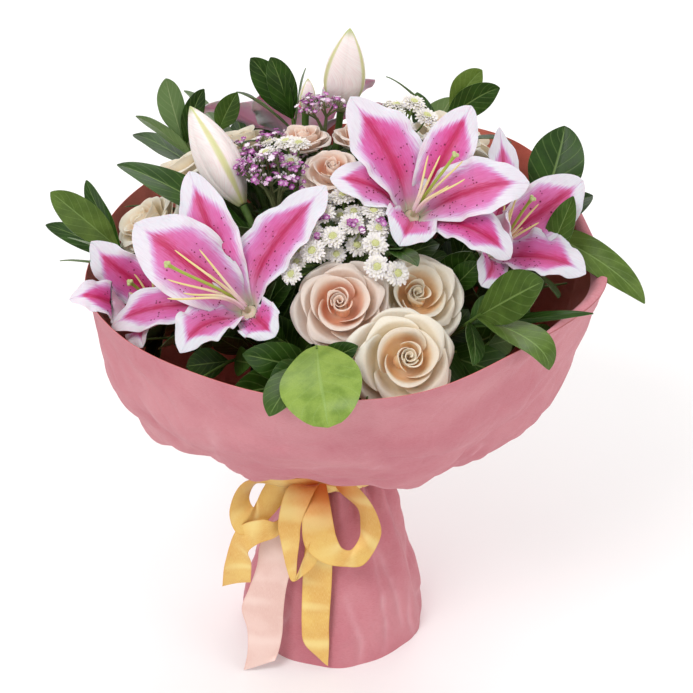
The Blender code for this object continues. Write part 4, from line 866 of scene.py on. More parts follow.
lily_petals = lily_look()
for lily_name, (base, axis, _, tepals) in LILIES.items():
    draw = random.Random(lily_name)
    axis = unit(axis)
    cup = [base + up * axis for up in (0.0, 2.0, 4.0, 6.0)]
    lily = Piece()
    lily.add(*rod(cup, [3.0, 4.8, 5.6, 3.6], 20), along=0.02, across=0.2)
    for k, (tip, half_width, curl) in enumerate(tepals):
        tepal(lily, base + 3.5 * axis, axis, tip, half_width, curl, k % 2 == 1, draw)
    lily.make(f"lily_{lily_name}_petals", lily_petals, "lily_petal", [f"lily_{lily_name}_tepals"])


# Lily styles: in the middle of each lily a green style with a three-lobed stigma, and six slim
# cream filaments whose anthers have been taken off, as florists do.
CLEARANCE = 0.35
STIGMA_LOBES = 3
FILAMENTS = 6
FILAMENT_SIDES = 9


def square_to(axis, reference):
    """Two ways at right angles to an axis and to each other."""
    right = unit(np.cross(axis, reference))
    return right, np.cross(axis, right)


look = Look("lily_style", {"Roughness": 0.42, "Subsurface Weight": 0.15})
look.give({"Subsurface Radius": (0.002, 0.002, 0.001)})
grain = look.noise(900.0, 3.0, look.stretched((1.0, 1.0, 0.2)))
style_green = look.mix(grain, "#8FA53A", "#A9B84B")
filament = look.mix(look.fade(look.field("along"), 0.0, 0.8), "#F3E4E0", "#E3D690")
look.give({"Base Color": look.mix(look.field("green"), filament, style_green)})
look.relief(grain, 0.12)

for lily_name, (base, axis, style, _) in LILIES.items():
    base = np.array(base, float)
    axis = unit(axis)
    root = base + (10.0 + CLEARANCE) * axis
    end = base + style
    length = np.linalg.norm(style)
    aim = unit(style)
    sides = square_to(aim, UP)
    heart = Piece()
    ovary = [root - 5.5 * axis, root, root + 1.5 * axis, root + 5 * axis]
    heart.add(*rod(ovary, [2.0, 2.4, 2.8, 2.4], 14), green=0.6)
    line = bezier(root + 2 * axis, root + 0.35 * length * axis, end - 0.3 * length * aim, end, 26)
    radii = np.interp(np.linspace(0, 1, len(line)), [0, 0.3, 0.9, 1], [1.5, 1.1, 1.1, 1.8])
    heart.add(*rod(line, radii, 12), green=1.0)
    for angle in turn_steps(STIGMA_LOBES):
        out = spoke(-angle, *sides)
        lobe = [end - 1.0 * aim + 0.8 * out, end + 0.4 * aim + 1.6 * out, end + 1.2 * aim + 1.9 * out]
        heart.add(*rod(lobe, [1.2, 1.6, 0.9], 10), green=0.8)
    for k in range(FILAMENTS):
        spread = 0.23 * length * spoke(-math.radians(60 * k + 25), *sides)
        reach = (0.86 - 0.05 * (k % 3)) * length
        tip = base + reach * aim + spread
        start = root + 2.5 * axis + 1.8 * unit(spread)
        line = bezier(start, start + 0.40 * reach * axis, tip - 0.30 * reach * unit(tip - start), tip, 22)
        s = np.linspace(0.0, 1.0, len(line))
        radii = np.interp(s, [0, 0.7, 0.96, 1], [1.15, 0.8, 0.55, 0.2])
        heart.add(*rod(line, radii, FILAMENT_SIDES), along=np.repeat(s, FILAMENT_SIDES))
    heart.make(f"lily_{lily_name}_heart", look, "lily_style", [f"lily_{lily_name}_style_and_filaments"])


# Lily buds: closed cream-pink buds of six tepals folded edge to edge, with a yellow-green seam along
# each ridge and a pointed green tip.
BUDS = {
    "left": ((-69, 5, 362), (-107, 40, 424), 16.0),
    "top": ((2, 98, 392), (9, 85, 465), 15.0),
    "small": ((-24, 84, 398), (-22, 82, 426), 6.0),
}
BUD_ROWS = 48
BUD_SIDES = 60

look = Look("lily_bud", {"Roughness": 0.45, "Subsurface Weight": 0.2})
look.give({"Subsurface Radius": (0.004, 0.002, 0.002)})
streak = look.streaks(0.9, 0.10)
along = look.field("along")
tone = look.mix(look.fade(streak, 0.35, 0.7), "#F4ECE9", "#EEDCDB")
tone = look.mix(look.times(look.fade(look.field("seam"), 0.95, 1.0), 0.75), tone, "#C3C66C")
tone = look.mix(look.fade(along, 0.0, 0.16, 0.8, 0.0), tone, "#B5BB68")
tone = look.mix(look.fade(along, 0.90, 1.0, 0.0, 0.85), tone, "#9DAE55")
look.give({"Base Color": tone})
look.relief(streak, 0.2)

for bud_name, (base, tip, radius) in BUDS.items():
    way = np.subtract(tip, base)
    length = np.linalg.norm(way)
    axis = unit(way)
    s = np.linspace(0.0, 1.0, BUD_ROWS)[:, None]
    angle = turn_steps(BUD_SIDES)
    reach = radius * np.maximum(swell(s, 0.42, 0.22, 0.0, 0.8), 0.02)
    ridge = 1 + 0.10 * np.cos(3 * angle) + 0.035 * np.exp(-((np.sin(1.5 * angle) / 0.10) ** 2))
    ridge = ridge - 0.05 * np.exp(-((np.cos(1.5 * angle) / 0.09) ** 2))
    rings = (reach * ridge)[..., None] * spoke(-angle, *square_to(axis, UP))
    grid = base + (s * length)[..., None] * axis + rings
    bud = Piece()
    bud.add(
        grid.reshape(-1, 3),
        tube_faces(BUD_ROWS, BUD_SIDES),
        along=np.repeat(s, BUD_SIDES),
        long=np.repeat(s * length, BUD_SIDES),
        wide=(reach * angle).ravel(),
        seam=np.tile(np.abs(np.cos(1.5 * angle)), BUD_ROWS),
    )
    bud.make(f"lily_bud_{bud_name}_skin", look, "lily_bud_skin", [f"lily_bud_{bud_name}"])


# Roses: full garden roses in cream, some in peach. Rings of broad petals lap over each other round
# a furled heart; their rims roll outwards and come to a soft point.
# Each rose: its heart, the way that it faces, its radius and where its first petals start
ROSES = {
    "front_left": ((4, -118, 352), (0.00, -0.72, 0.69), 33.0, 0.2),
    "front_right": ((61, -93, 347), (0.22, -0.62, 0.75), 31.0, 1.1),
    "front": ((46, -154, 331), (0.12, -0.78, 0.62), 35.0, 2.4),
    "centre": ((-5, 0, 398), (-0.02, -0.30, 0.95), 22.0, 0.7),
    "centre_left": ((-25, 42, 404), (-0.10, 0.05, 0.99), 19.0, 0.1),
    "centre_back": ((15, 50, 402), (0.08, 0.10, 0.99), 19.0, 1.9),
    "left": ((-146, 12, 351), (-0.62, -0.08, 0.78), 27.0, 0.5),
    "back_left": ((-119, 62, 371), (-0.45, 0.22, 0.86), 24.0, 1.4),
    "right_back": ((84, 60, 403), (0.25, 0.15, 0.96), 26.0, 2.0),
    "middle_left": ((-73, 75, 387), (-0.25, 0.25, 0.93), 22.0, 0.9),
    "back_right": ((98, 122, 362), (0.45, 0.60, 0.66), 29.0, 2.8),
}
PEACH_ROSES = ("front_left", "centre", "centre_left", "centre_back")
ROSE_HEIGHT = 0.86
ROSE_PETAL_THICKNESS = 0.26
# Rings from the outside in. Each has five stations from the petal's foot over its belly, shoulder and
# crest to its rolled lip, as (reach, height) in shares of the rose's radius, then how many petals it
# has and how wide each laps
ROSE_RINGS = (
    (((0.14, 0.04), (0.60, 0.12), (0.86, 0.34), (0.98, 0.42), (1.07, 0.32)), 5, 1.45),
    (((0.14, 0.08), (0.50, 0.20), (0.68, 0.48), (0.80, 0.60), (0.95, 0.54)), 5, 1.50),
    (((0.13, 0.14), (0.38, 0.30), (0.47, 0.55), (0.53, 0.74), (0.62, 0.84)), 3, 1.60),
    (((0.08, 0.26), (0.18, 0.42), (0.22, 0.60), (0.215, 0.74), (0.25, 0.82)), 3, 1.50),
)
HEART_SHIFT = 0.13
HEART_TURNS = 2.1
LARGE_ROSE = 28


def rose_look(name, rim, body, heart, hollow):
    """Thin petals, paler at the rim and warmer down in the folds."""
    look = Look(name, {"Specular IOR Level": 0.3, "Subsurface Radius": (0.006, 0.004, 0.003)})
    along = look.field("along")
    depth = look.field("depth")
    veins = look.streaks(1.0, 0.12)
    cloud = look.noise(60.0, 3.0)
    tone = look.mix(depth, body, heart)
    tone = look.mix(look.fade(along, 0.30, 0.90, 0.0, 0.8), tone, rim)
    inner_side = look.calc("SUBTRACT", 1.0, look.field("under"))
    glow = look.times(look.fade(along, 0.30, 0.80, 0.8, 0.0), look.fade(depth, 0.3, 0.8))
    tone = look.mix(look.times(glow, inner_side), tone, hollow)
    tone = look.mix(look.fade(along, 0.0, 0.22, 0.3, 0.0), tone, "#E2D3A0")
    tone = look.mix(look.fade(veins, 0.35, 0.7, 0.10, 0.0), tone, "#EDD6BC", "MULTIPLY")
    tone = look.mix(look.fade(cloud, 0.4, 0.7, 0.0, 0.2), tone, "#FAF3E6")
    look.give({
        "Base Color": tone,
        "Roughness": look.fade(veins, 0.3, 0.7, 0.50, 0.66),
        "Subsurface Weight": 0.4,
        "Sheen Weight": 0.12,
    })
    look.relief(look.calc("MULTIPLY_ADD", cloud, 0.5, veins), 0.10)
    return look


def rose_petal(piece, frame, radius, ring, turn, depth, draw):
    """One petal of a ring, its margin lower than its point and its lip rolled out."""
    base, axis, right, back = frame
    stations, count, lap = ring
    rows, columns = (24, 19) if radius > LARGE_ROSE else (16, 13)
    s = np.linspace(0.0, 1.0, rows)
    v = np.linspace(-1.0, 1.0, columns)[None, :]
    edge = np.abs(v)
    outer = depth < 0.4
    shorter = 0.95 - draw.uniform(0.24, 0.34) * edge ** (1.5 if outer else 2.4)
    shorter = shorter + (0.05 if outer else 0.02) * np.exp(-(((v + draw.uniform(-0.1, 0.1)) / 0.2) ** 2))
    line = monotone(stations, (4 * s[:, None] * shorter).ravel()).reshape(rows, columns, 2)
    reach, rise = line[..., 0], line[..., 1]
    s = s[:, None]
    rise = rise + 0.035 * draw.uniform(-1, 1) * s * s
    lip = np.clip((s - 0.70) / 0.30, 0.0, 1.0)
    curl = draw.uniform(0.02, 0.07) * edge ** 1.4 - draw.uniform(-0.01, 0.05) * np.exp(-((v / 0.22) ** 2))
    wave = 0.016 * np.sin(2.8 * v + draw.uniform(0, 6.28)) + 0.006 * np.sin(7.0 * v + draw.uniform(0, 6.28))
    reach = reach + 0.075 * v * np.minimum(1.6 * s, 1.0) + wave * s - 0.5 * curl * lip
    rise = rise - curl * lip + 0.5 * wave * s
    reach = reach * (1 + 0.05 * draw.uniform(-1, 1) * s)
    angle = turn + v * lap * draw.uniform(0.92, 1.08) * math.pi / count * (1 - 0.10 * s ** 3)
    out = spoke(angle, right, back)
    grid = base + radius * (reach[..., None] * out + rise[..., None] * axis)
    piece.add_skin(
        grid, ROSE_PETAL_THICKNESS, along=s, across=v, long=s * radius, wide=v * 0.5 * radius, depth=depth
    )


def rose_heart(piece, frame, radius, phase):
    """The furled middle: one petal rolled into a spiral."""
    base, axis, right, back = frame
    s = np.linspace(0.0, 1.0, 8)[:, None]
    u = np.linspace(0.0, 1.0, 60)[None, :]
    angle = phase + 2 * math.pi * HEART_TURNS * u
    reach = (0.012 + 0.145 * u ** 0.9) * (0.80 + 0.22 * s) + 0.03 * s ** 5
    rise = 0.36 + (0.39 - 0.07 * u + 0.020 * np.sin(3 * angle)) * s
    out = spoke(angle, right, back)
    grid = base + radius * (reach[..., None] * out + (rise + 0 * u)[..., None] * axis)
    piece.add_skin(grid, 0.4, along=0.4 + 0.6 * s, across=u, long=s * 8.0, wide=u * 30.0, depth=1.0)


cream_petals = rose_look("cream_rose_petal", "#F6ECDA", "#F6E6C9", "#F3DAA2", "#F0A468")
peach_petals = rose_look("peach_rose_petal", "#F6E3D6", "#F6D8C4", "#F3BF9A", "#E8875E")
for rose_name, (heart, axis, radius, phase) in ROSES.items():
    draw = random.Random(rose_name)
    axis = unit(axis)
    base = np.array(heart, float) - ROSE_HEIGHT * radius * axis
    sides = square_to(axis, (0.2, 0.9, 0.4))
    rose = Piece()
    hip = [base + up * radius * axis for up in (0.0, 0.10, 0.30, 0.50)]
    rose.add(*rod(hip, np.array([0.12, 0.17, 0.14, 0.08]) * radius, 16), depth=0.5)
    aside = HEART_SHIFT * radius * spoke(draw.uniform(0, 2 * math.pi), *sides)
    for level, ring in enumerate(ROSE_RINGS):
        count = ring[1]
        turn = phase + 0.63 * level + 0.3 * draw.uniform(-1, 1)
        moved = (base + level / 3 * aside, axis, *sides)
        for k in range(count):
            place = turn + 2 * math.pi * (k + 0.10 * draw.uniform(-1, 1)) / count
            rose_petal(rose, moved, radius, ring, place, level / 3, draw)
    rose_heart(rose, (base + aside, axis, *sides), radius, phase)
    is_peach = rose_name in PEACH_ROSES
    rose.make(
        f"rose_{rose_name}_petals",
        peach_petals if is_peach else cream_petals,
        "peach_rose_petal" if is_peach else "cream_rose_petal",
        [f"rose_{rose_name}_bloom"],
    )


# Stems: the bundle stands on its cut stems, turns as it rises to the tie and opens again above it.
# Lily stems fork to their flowers and buds; each rose stem has a few thorns and ends in five
# drooping sepals; the sprays and the foliage have thinner stems.
STEM_PITCH_GAP = 0.2
STEM_FLARE = 2.15
STEM_TWIST = math.radians(40.0)
LILY_STEM_RADIUS = 4.2
ROSE_STEM_RADIUS = 3.0
LEAFY_STEM_RADIUS = 2.3
SPRAY_STEM_RADIUS = 2.0
SEPALS = 5
SEPAL_HALF_WIDTH = 3.0
SEPAL_LENGTH = 17.0
THORNS = 5
# Lily stems: where each forks, then its flowers and buds
LILY_STEMS = {
    "left": ((-50, -34, 236), ["front_left", "left"], ["left"]),
    "right": ((44, -12, 250), ["front_right", "right"], []),
    "back": ((-10, 62, 262), ["back"], ["top", "small"]),
}
LILY_LEAVES = {"left": [((-58, -7, 340), (-154, 20, 397), 16)]}
MUM_FORKS = {"front": (10, -60, 344), "left": (-31, 17, 372), "back": (40, 66, 366)}
VIOLET_CLUSTERS = {
    "left": ((-47, 7, 397), (27, 24, 8), 18, (-44, 8, 356)),
    "top": ((-13, 70, 416), (16, 9, 6), 7, (-10, 76, 384)),
}
# Foliage: where each stem ends, then its leaves as (share of the way from the tie to the stem's
# end, tip, half width) and, for a leaf that arches over the paper's rim, how high it arches
LEAFY_STEMS = {
    "left": ((-162, -6, 334), (
        (0.98, (-207, 0, 375), 13), (0.98, (-183, 20, 374), 9), (0.92, (-203, 28, 360), 9),
        (0.9, (-194, -22, 350), 8), (0.86, (-198, -42, 342), 4), (0.66, (-150, -76, 285), 16),
        (0.78, (-112, -104, 302), 15), (0.72, (-166, 6, 300), 15),
    )),
    "back_left": ((-118, 92, 372), (
        (1.0, (-128, 92, 421), 11), (0.98, (-100, 97, 410), 8), (0.94, (-150, 76, 398), 9),
        (0.9, (-165, 100, 372), 12), (0.72, (-160, 60, 330), 14), (0.82, (-138, 26, 374), 12),
    )),
    "top": ((-34, 92, 388), (
        (1.0, (-65, 100, 434), 11), (1.0, (-50, 97, 436), 11), (0.96, (-76, 92, 410), 12),
        (0.97, (-24, 104, 424), 6), (0.9, (-70, 30, 398), 5), (0.8, (-60, 134, 360), 15),
    )),
    "top_right": ((84, 92, 396), (
        (1.0, (107, 92, 428), 11), (0.97, (120, 82, 418), 10), (0.94, (44, 66, 432), 6),
        (0.9, (128, 70, 384), 13), (0.85, (60, 120, 396), 13), (0.74, (130, 108, 344), 15),
    )),
    "right": ((150, 28, 344), (
        (1.0, (167, 60, 398), 17), (0.97, (172, 32, 368), 12), (0.95, (222, -38, 304), 17),
        (0.9, (190, 50, 345), 14), (0.74, (140, 70, 300), 15), (0.82, (158, -50, 316), 15),
        (0.7, (118, 20, 330), 14),
    )),
    "front_right": ((100, -96, 330), (
        (0.98, (140, -122, 372), 18), (0.98, (144, -152, 320), 14, 0.32), (0.94, (92, -156, 326), 8),
        (0.9, (177, -108, 338), 4), (0.72, (128, -104, 280), 16), (0.8, (76, -136, 290), 14),
    )),
    "front": ((-14, -140, 318), (
        (1.0, (-8, -194, 304), 24, 0.22), (0.94, (-40, -176, 304), 18), (0.96, (16, -142, 334), 9),
        (0.8, (-74, -140, 292), 17), (0.88, (-64, -148, 330), 14),
    )),
    "middle": ((36, -66, 366), (
        (1.0, (62, -92, 403), 8), (0.96, (46, -80, 388), 6), (0.8, (76, -56, 340), 13),
        (0.86, (-14, -44, 368), 13), (0.76, (20, -20, 364), 13),
    )),
    "far_left": ((-70, 132, 330), (
        (1.0, (-120, 160, 378), 15), (0.94, (-150, 130, 350), 15), (0.9, (-80, 186, 340), 15),
        (0.76, (-120, 110, 288), 15),
    )),
    "far_right": ((60, 140, 322), (
        (1.0, (100, 176, 352), 16), (0.96, (30, 190, 330), 15), (0.92, (150, 120, 336), 15),
        (0.78, (110, 110, 280), 15),
    )),
}


def packed_at_waist(heads):
    """Where each stem passes through the tie: spread by the way that its head lies, then eased apart."""
    names = list(heads)
    reach = {n: math.hypot(*heads[n][0][:2]) for n in names}
    order = sorted(names, key=lambda n: reach[n])
    area = sum((heads[n][1] + 0.5 * STEM_PITCH_GAP) ** 2 for n in names)
    bundle = math.sqrt(area / 0.80)
    spots = {}
    for rank, name in enumerate(order):
        spots[name] = bundle * math.sqrt((rank + 0.5) / len(order)) * unit(heads[name][0][:2])
    for _ in range(400):
        for a in names:
            for b in names:
                if a >= b:
                    continue
                apart = spots[b] - spots[a]
                distance = max(np.linalg.norm(apart), 1e-6)
                wanted = heads[a][1] + heads[b][1] + STEM_PITCH_GAP
                if distance < wanted:
                    push = 0.5 * (wanted - distance) * apart / distance
                    spots[a] = spots[a] - push
                    spots[b] = spots[b] + push
        for name in names:
            spots[name] = spots[name] * 0.997
    return spots


def stem_line(spot, end, steps, last=()):
    """From the level cut up through the tie and out to the head."""
    path = []
    for down in (1.0, 0.5):
        scale = 1 + (STEM_FLARE - 1) * down
        turn = STEM_TWIST * down
        x = scale * (math.cos(turn) * spot[0] - math.sin(turn) * spot[1])
        y = scale * (math.sin(turn) * spot[0] + math.cos(turn) * spot[1])
        path.append((x, y, WAIST_HEIGHT * (1 - down)))
    tied = WAIST_HEIGHT + TIE_HALF_HEIGHT
    path.append((spot[0], spot[1], WAIST_HEIGHT - TIE_HALF_HEIGHT))
    path.append((spot[0], spot[1], tied))
    for k in range(1, steps + 1):
        u = k / steps
        out = 0.45 * u + 0.55 * u * u
        x = spot[0] + (end[0] - spot[0]) * out
        y = spot[1] + (end[1] - spot[1]) * out
        path.append((x, y, tied + (end[2] - tied) * u))
    path += [tuple(p) for p in last]
    return np.array(path), monotone(path, np.linspace(0, len(path) - 1, 8 * (len(path) - 1) + 1))


def add_stem(piece, line, radii, sides):
    """A green stem whose cut end is flat."""
    points, faces = rod(line, radii, sides)
    points[:sides, 2] = np.where(line[0][2] < 1.0, line[0][2], points[:sides, 2])
    height = np.repeat(np.linspace(0.0, 1.0, len(line)), sides)
    piece.add(points, faces, long=height * 300.0, wide=np.tile(np.arange(sides), len(line)))


def stem_skin():
    """Green skin with grain along the stem, red at the thorns."""
    look = Look("stem_skin", {"Specular IOR Level": 0.35})
    grain = look.streaks(1.4, 0.06)
    cloud = look.noise(120.0, 3.0)
    tone = look.mix(grain, "#2F4A1D", "#5F8038")
    tone = look.mix(look.fade(cloud, 0.45, 0.75, 0.0, 0.5), tone, "#7C8F4C")
    tone = look.mix(look.field("red"), tone, "#7A3A2C")
    look.give({"Base Color": tone, "Roughness": look.fade(grain, 0.3, 0.7, 0.42, 0.62)})
    look.relief(grain, 0.3)
    return look


stem_look = stem_skin()
heads_at_waist = {
    **{"lily " + name: (fork, LILY_STEM_RADIUS) for name, (fork, _, _) in LILY_STEMS.items()},
    **{"rose " + name: (heart, ROSE_STEM_RADIUS) for name, (heart, _, _, _) in ROSES.items()},
    **{"mum " + name: (fork, SPRAY_STEM_RADIUS) for name, fork in MUM_FORKS.items()},
    **{"violet " + name: (row[3], SPRAY_STEM_RADIUS) for name, row in VIOLET_CLUSTERS.items()},
    **{"foliage " + name: (end, LEAFY_STEM_RADIUS) for name, (end, _) in LEAFY_STEMS.items()},
}
waist_spots = packed_at_waist(heads_at_waist)
leafy_lines = []

for rose_name, (heart, axis, radius, _) in ROSES.items():
    draw = random.Random(rose_name + " stem")
    axis = unit(axis)
    top = np.array(heart, float) - (ROSE_HEIGHT * radius + CLEARANCE) * axis
    brim = top - 3.2 * axis
    neck = top - 11.0 * axis
    path, line = stem_line(waist_spots["rose " + rose_name], neck, 3, [brim])
    last = len(path) - 1
    radii = np.interp(np.linspace(0, last, len(line)), [0, last - 1, last], [3.0, 2.8, 4.4])
    leafy_lines.append(line)
    stem = Piece()
    add_stem(stem, line, radii, 14)
    sides = square_to(axis, UP)
    for angle in turn_steps(SEPALS):
        out = spoke(-angle - 0.3, *sides)
        tip = brim + SEPAL_LENGTH * out - 9.0 * axis
        spine = bezier(brim + 2.0 * out, brim + 8 * out + 2.5 * axis, brim + 14 * out - 1.0 * axis, tip, 12)
        s = np.linspace(0.0, 1.0, len(spine))
        widths = np.maximum(SEPAL_HALF_WIDTH * swell(s, 0.25, 0.6, 0.0, 1.3), 0.25)
        v = np.linspace(-1.0, 1.0, 5)[None, :]
        grid, _, _ = blade(spine, widths, axis, 5, 0.25 * v * v)
        stem.add_skin(grid, 0.5, long=SEPAL_LENGTH * s[:, None], wide=SEPAL_HALF_WIDTH * v)
    for _ in range(THORNS):
        i = draw.randint(6, len(line) - 12)
        out = round_axis(1.0, draw.uniform(0, 2 * math.pi), 0.0)
        if WAIST_HEIGHT - 45 < line[i][2] < WAIST_HEIGHT + 60:
            continue
        foot = line[i] + 2.4 * out
        thorn = [foot, foot + 1.6 * out, foot + 3.6 * out - 1.4 * UP]
        stem.add(*rod(thorn, [1.5, 0.8, 0.1], 8), red=0.8)
    stem.make(f"rose_{rose_name}_stalk", stem_look, "stem_skin", [f"rose_{rose_name}_stem"])


# Foliage: glossy dark green leaves with a pale midrib and side veins, a few younger ones in yellow
# green. A leaf that would touch a neighbour is bent clear of it.
LEAF_THICKNESS = 0.5
SOLID_LEAF_THICKNESS = 0.8
LEAF_ARCH = 0.10
SIDE_VEINS = 7.0
VEIN_SLANT = 0.32
DOME_CENTRE = np.array([0.0, 10.0, 265.0])
DOME_RADII = np.array([180.0, 165.0, 140.0])
# Ways that a leaf may be bent, as shares of its length forwards and sideways
LEAF_BENDS = [(0.0, 0.0)] + [
    (size * math.sin(math.radians(turn)), size * math.cos(math.radians(turn)))
    for size in (0.12, 0.25, 0.4, 0.6, 0.8)
    for turn in (90, 45, 135, 0, 180, 225, 315, 270)
]
HANGING_LEAF = ("front", 0)
HANGING_STRETCH = 1.14
HANGING_FULLNESS = 1.16
HANGING_DROOP = 8.0
HANGING_ASIDE = 5.0
HANGING_FOOT = (0.0, 3.0, 12.0)
# Leaves that turn their upper side to the front, with how full each is beside the solid leaf
TURNED_LEAVES = {
    ("right", 0): ((-0.1, -0.9, 0.3), 1.2),
    ("right", 2): ((0.2, -0.75, 0.65), 0.75),
    ("top_right", 0): ((-0.2, -0.9, 0.4), 0.95),
    ("top_right", 1): ((0.2, -0.9, 0.4), 1.15),
    ("top", 0): ((-0.2, -0.9, 0.4), 1.1),
    ("top", 1): ((0.3, -0.9, 0.3), 1.0),
    ("back_left", 1): ((0.1, -0.9, 0.4), 1.0),
}
# Small leaves beside them: stalk, base, tip, half width, facing and how high each arches
SIDE_LEAVES = {
    "right": ((150, 14, 338), (151, -18, 329), (169, -10, 377), 10.0, (-0.3, -0.8, 0.5), 0.03),
    "front": ((-15, -140, 317), (-22, -146, 322), (-45, -200, 314), 14.0, (-0.25, -0.45, 0.85), 0.12),
    "back_left": ((-116, 92, 370), (-90, 90, 379), (-75, 91, 410), 9.0, (0.0, -0.9, 0.4), 0.03),
}
# Younger leaves, by how far each is from dark to yellow green
YOUNG_LEAVES = {
    ("front", 0): 1.0,
    ("front_right", 0): 0.18,
    ("front_right", 1): 0.30,
    ("left", 0): 0.35,
    ("right", 2): 0.35,
    ("top_right", 0): 0.55,
}


def outward(point):
    """The way that the dome of flowers faces at a point."""
    return unit((point - DOME_CENTRE) / DOME_RADII**2)


def leaf_line(base, tip, half_width, rise, bend, rows):
    """Spine, half widths and facing of a leaf that rises from its stem and arches over."""
    base = np.array(base, float)
    chord = np.array(tip, float) - base
    length = np.linalg.norm(chord)
    face = outward(base + 0.6 * chord)
    side = unit(np.cross(chord, face))
    chord = length * unit(chord / length + bend[0] * face + bend[1] * side)
    face = unit(outward(base + 0.6 * chord) + 0.25 * UP)
    arch = rise * length * face
    first = base + 0.33 * chord + 0.8 * arch
    second = base + 0.70 * chord + 1.2 * arch
    spine = bezier(base, first, second, base + chord, rows)
    widths = half_width * swell(np.linspace(0.0, 1.0, rows), 0.45, 0.08, 0.0, 0.75)
    return spine, widths, face


def plain_leaf(base, tip, half_width, rise, bend):
    """The solid leaf with a little air round it, to find room for it."""
    rows = 4 if half_width > 7 else 3
    spine, widths, face = leaf_line(base, tip, half_width, rise, bend, rows)
    widths = np.maximum(widths, 0.9) + CLEARANCE
    lift = 0.16 * np.abs(np.linspace(-1.0, 1.0, 3))[None, :]
    grid, _, _ = blade(spine, widths, face, 3, lift)
    solid = Piece()
    solid.add_skin(grid, SOLID_LEAF_THICKNESS + 2 * CLEARANCE)
    triangles = [t for q in solid.faces for t in ((q[0], q[1], q[2]), (q[0], q[2], q[3]))]
    return BVHTree.FromPolygons([Vector(p) for p in solid.points[0]], triangles)


def tree_of(node):
    """The solid of a node, to test for contact."""
    mesh = frame["nodes"][node].data
    points = [vert.co / MM for vert in mesh.vertices]
    return BVHTree.FromPolygons(points, [tuple(face.vertices) for face in mesh.polygons])


def room_for(base, row, neighbours):
    """The bend that takes the leaf clear of its neighbours, or None."""
    rise = row[2] if len(row) > 2 else LEAF_ARCH
    for bend in LEAF_BENDS:
        solid = plain_leaf(base, row[0], row[1], rise, bend)
        if not any(solid.overlap(other) for other in neighbours):
            return rise, bend
    return None


def add_leaf(piece, base, tip, half_width, rise, bend, young, draw, hangs=False, turned=None, size=(26, 13)):
    """One leaf, with its midrib sunk and its side veins raised."""
    rows, columns = size
    spine, widths, face = leaf_line(base, tip, half_width, rise, bend, rows)
    if turned:
        face = unit(turned[0])
        widths = turned[1] * widths
    s = np.linspace(0.0, 1.0, rows)
    if hangs:
        spine = spine[0] + HANGING_STRETCH * (spine - spine[0])
        spine[:, 2] -= HANGING_DROOP * np.clip((s - 0.66) / 0.34, 0.0, 1.0) ** 1.6
        spine[:, 0] += HANGING_ASIDE * s
        spine += (1 - s[:, None]) ** 2 * HANGING_FOOT
        widths = HANGING_FULLNESS * half_width * np.sin(np.pi * s ** 1.12) ** 0.55
        piece.add(*rod([base, spine[0], spine[1]], [1.2, 1.1, 0.9], 8))
    widths = np.maximum(widths, 0.45)
    s = s[:, None]
    v = np.linspace(-1.0, 1.0, columns)[None, :]
    lift = 0.20 * np.sqrt(v * v + 0.006) - 0.05 * v * v
    phase = draw.uniform(0, 6.28)
    waves = np.sin(2 * np.pi * 1.6 * s + phase + 0.8 * v) * np.sin(np.pi * s)
    ripple = 0.05 * half_width * v * v * waves
    veins = np.cos(2 * np.pi * SIDE_VEINS * (s - VEIN_SLANT * np.abs(v)))
    ripple = ripple + 0.14 * veins * np.sin(np.pi * np.abs(v)) * np.sin(np.pi * s)
    ripple = ripple - 0.45 * np.exp(-((v / 0.06) ** 2)) * (1 - 0.7 * s)
    grid, _, _ = blade(spine, widths, face, columns, lift, ripple)
    fields = blade_fields(spine, widths, columns)
    piece.add_skin(grid, LEAF_THICKNESS, young=young, tone=draw.random(), leaf=1.0, **fields)


def leaf_skin():
    """Glossy leaves with pale veins and underside; the stalks share it."""
    look = Look("leaf_skin", {"Specular IOR Level": 0.20})
    along = look.field("along")
    across = look.calc("ABSOLUTE", look.field("across"))
    grain = look.noise(1400.0, 3.0)
    cloud = look.noise(70.0, 4.0)
    vein_place = look.calc("MULTIPLY_ADD", across, -VEIN_SLANT, along)
    vein_wave = look.calc("COSINE", look.times(vein_place, 2 * math.pi * SIDE_VEINS))
    side_vein = look.fade(vein_wave, 0.86, 1.0)
    midrib = look.fade(across, 0.015, 0.06, 1.0, 0.0)
    vein = look.calc("MAXIMUM", midrib, look.times(side_vein, 0.35))
    dark = look.mix(look.field("tone"), "#172D07", "#294611")
    dark = look.mix(look.fade(cloud, 0.35, 0.7, 0.0, 0.5), dark, "#3A5F18")
    young = look.mix(look.fade(cloud, 0.35, 0.65), "#738D38", "#8CA44A")
    green = look.mix(look.field("young"), dark, young)
    green = look.mix(look.times(vein, 0.40), green, "#97B368")
    green = look.mix(look.fade(grain, 0.3, 0.7, 0.22, 0.0), green, "#90A47A", "MULTIPLY")
    pale = look.mix(look.times(vein, 0.6), "#7D9A63", "#B4C493")
    green = look.mix(look.times(look.field("under"), 0.7), green, pale)
    stalk_green = look.mix(cloud, "#3C5722", "#6B8440")
    look.give({
        "Base Color": look.mix(look.field("leaf"), stalk_green, green),
        "Roughness": look.fade(cloud, 0.3, 0.7, 0.30, 0.44),
        "Coat Weight": 0.04,
        "Coat Roughness": 0.2,
    })
    look.relief(look.calc("MULTIPLY_ADD", vein, -0.8, look.times(grain, 0.35)), 0.22)
    return look


leaf_look = leaf_skin()

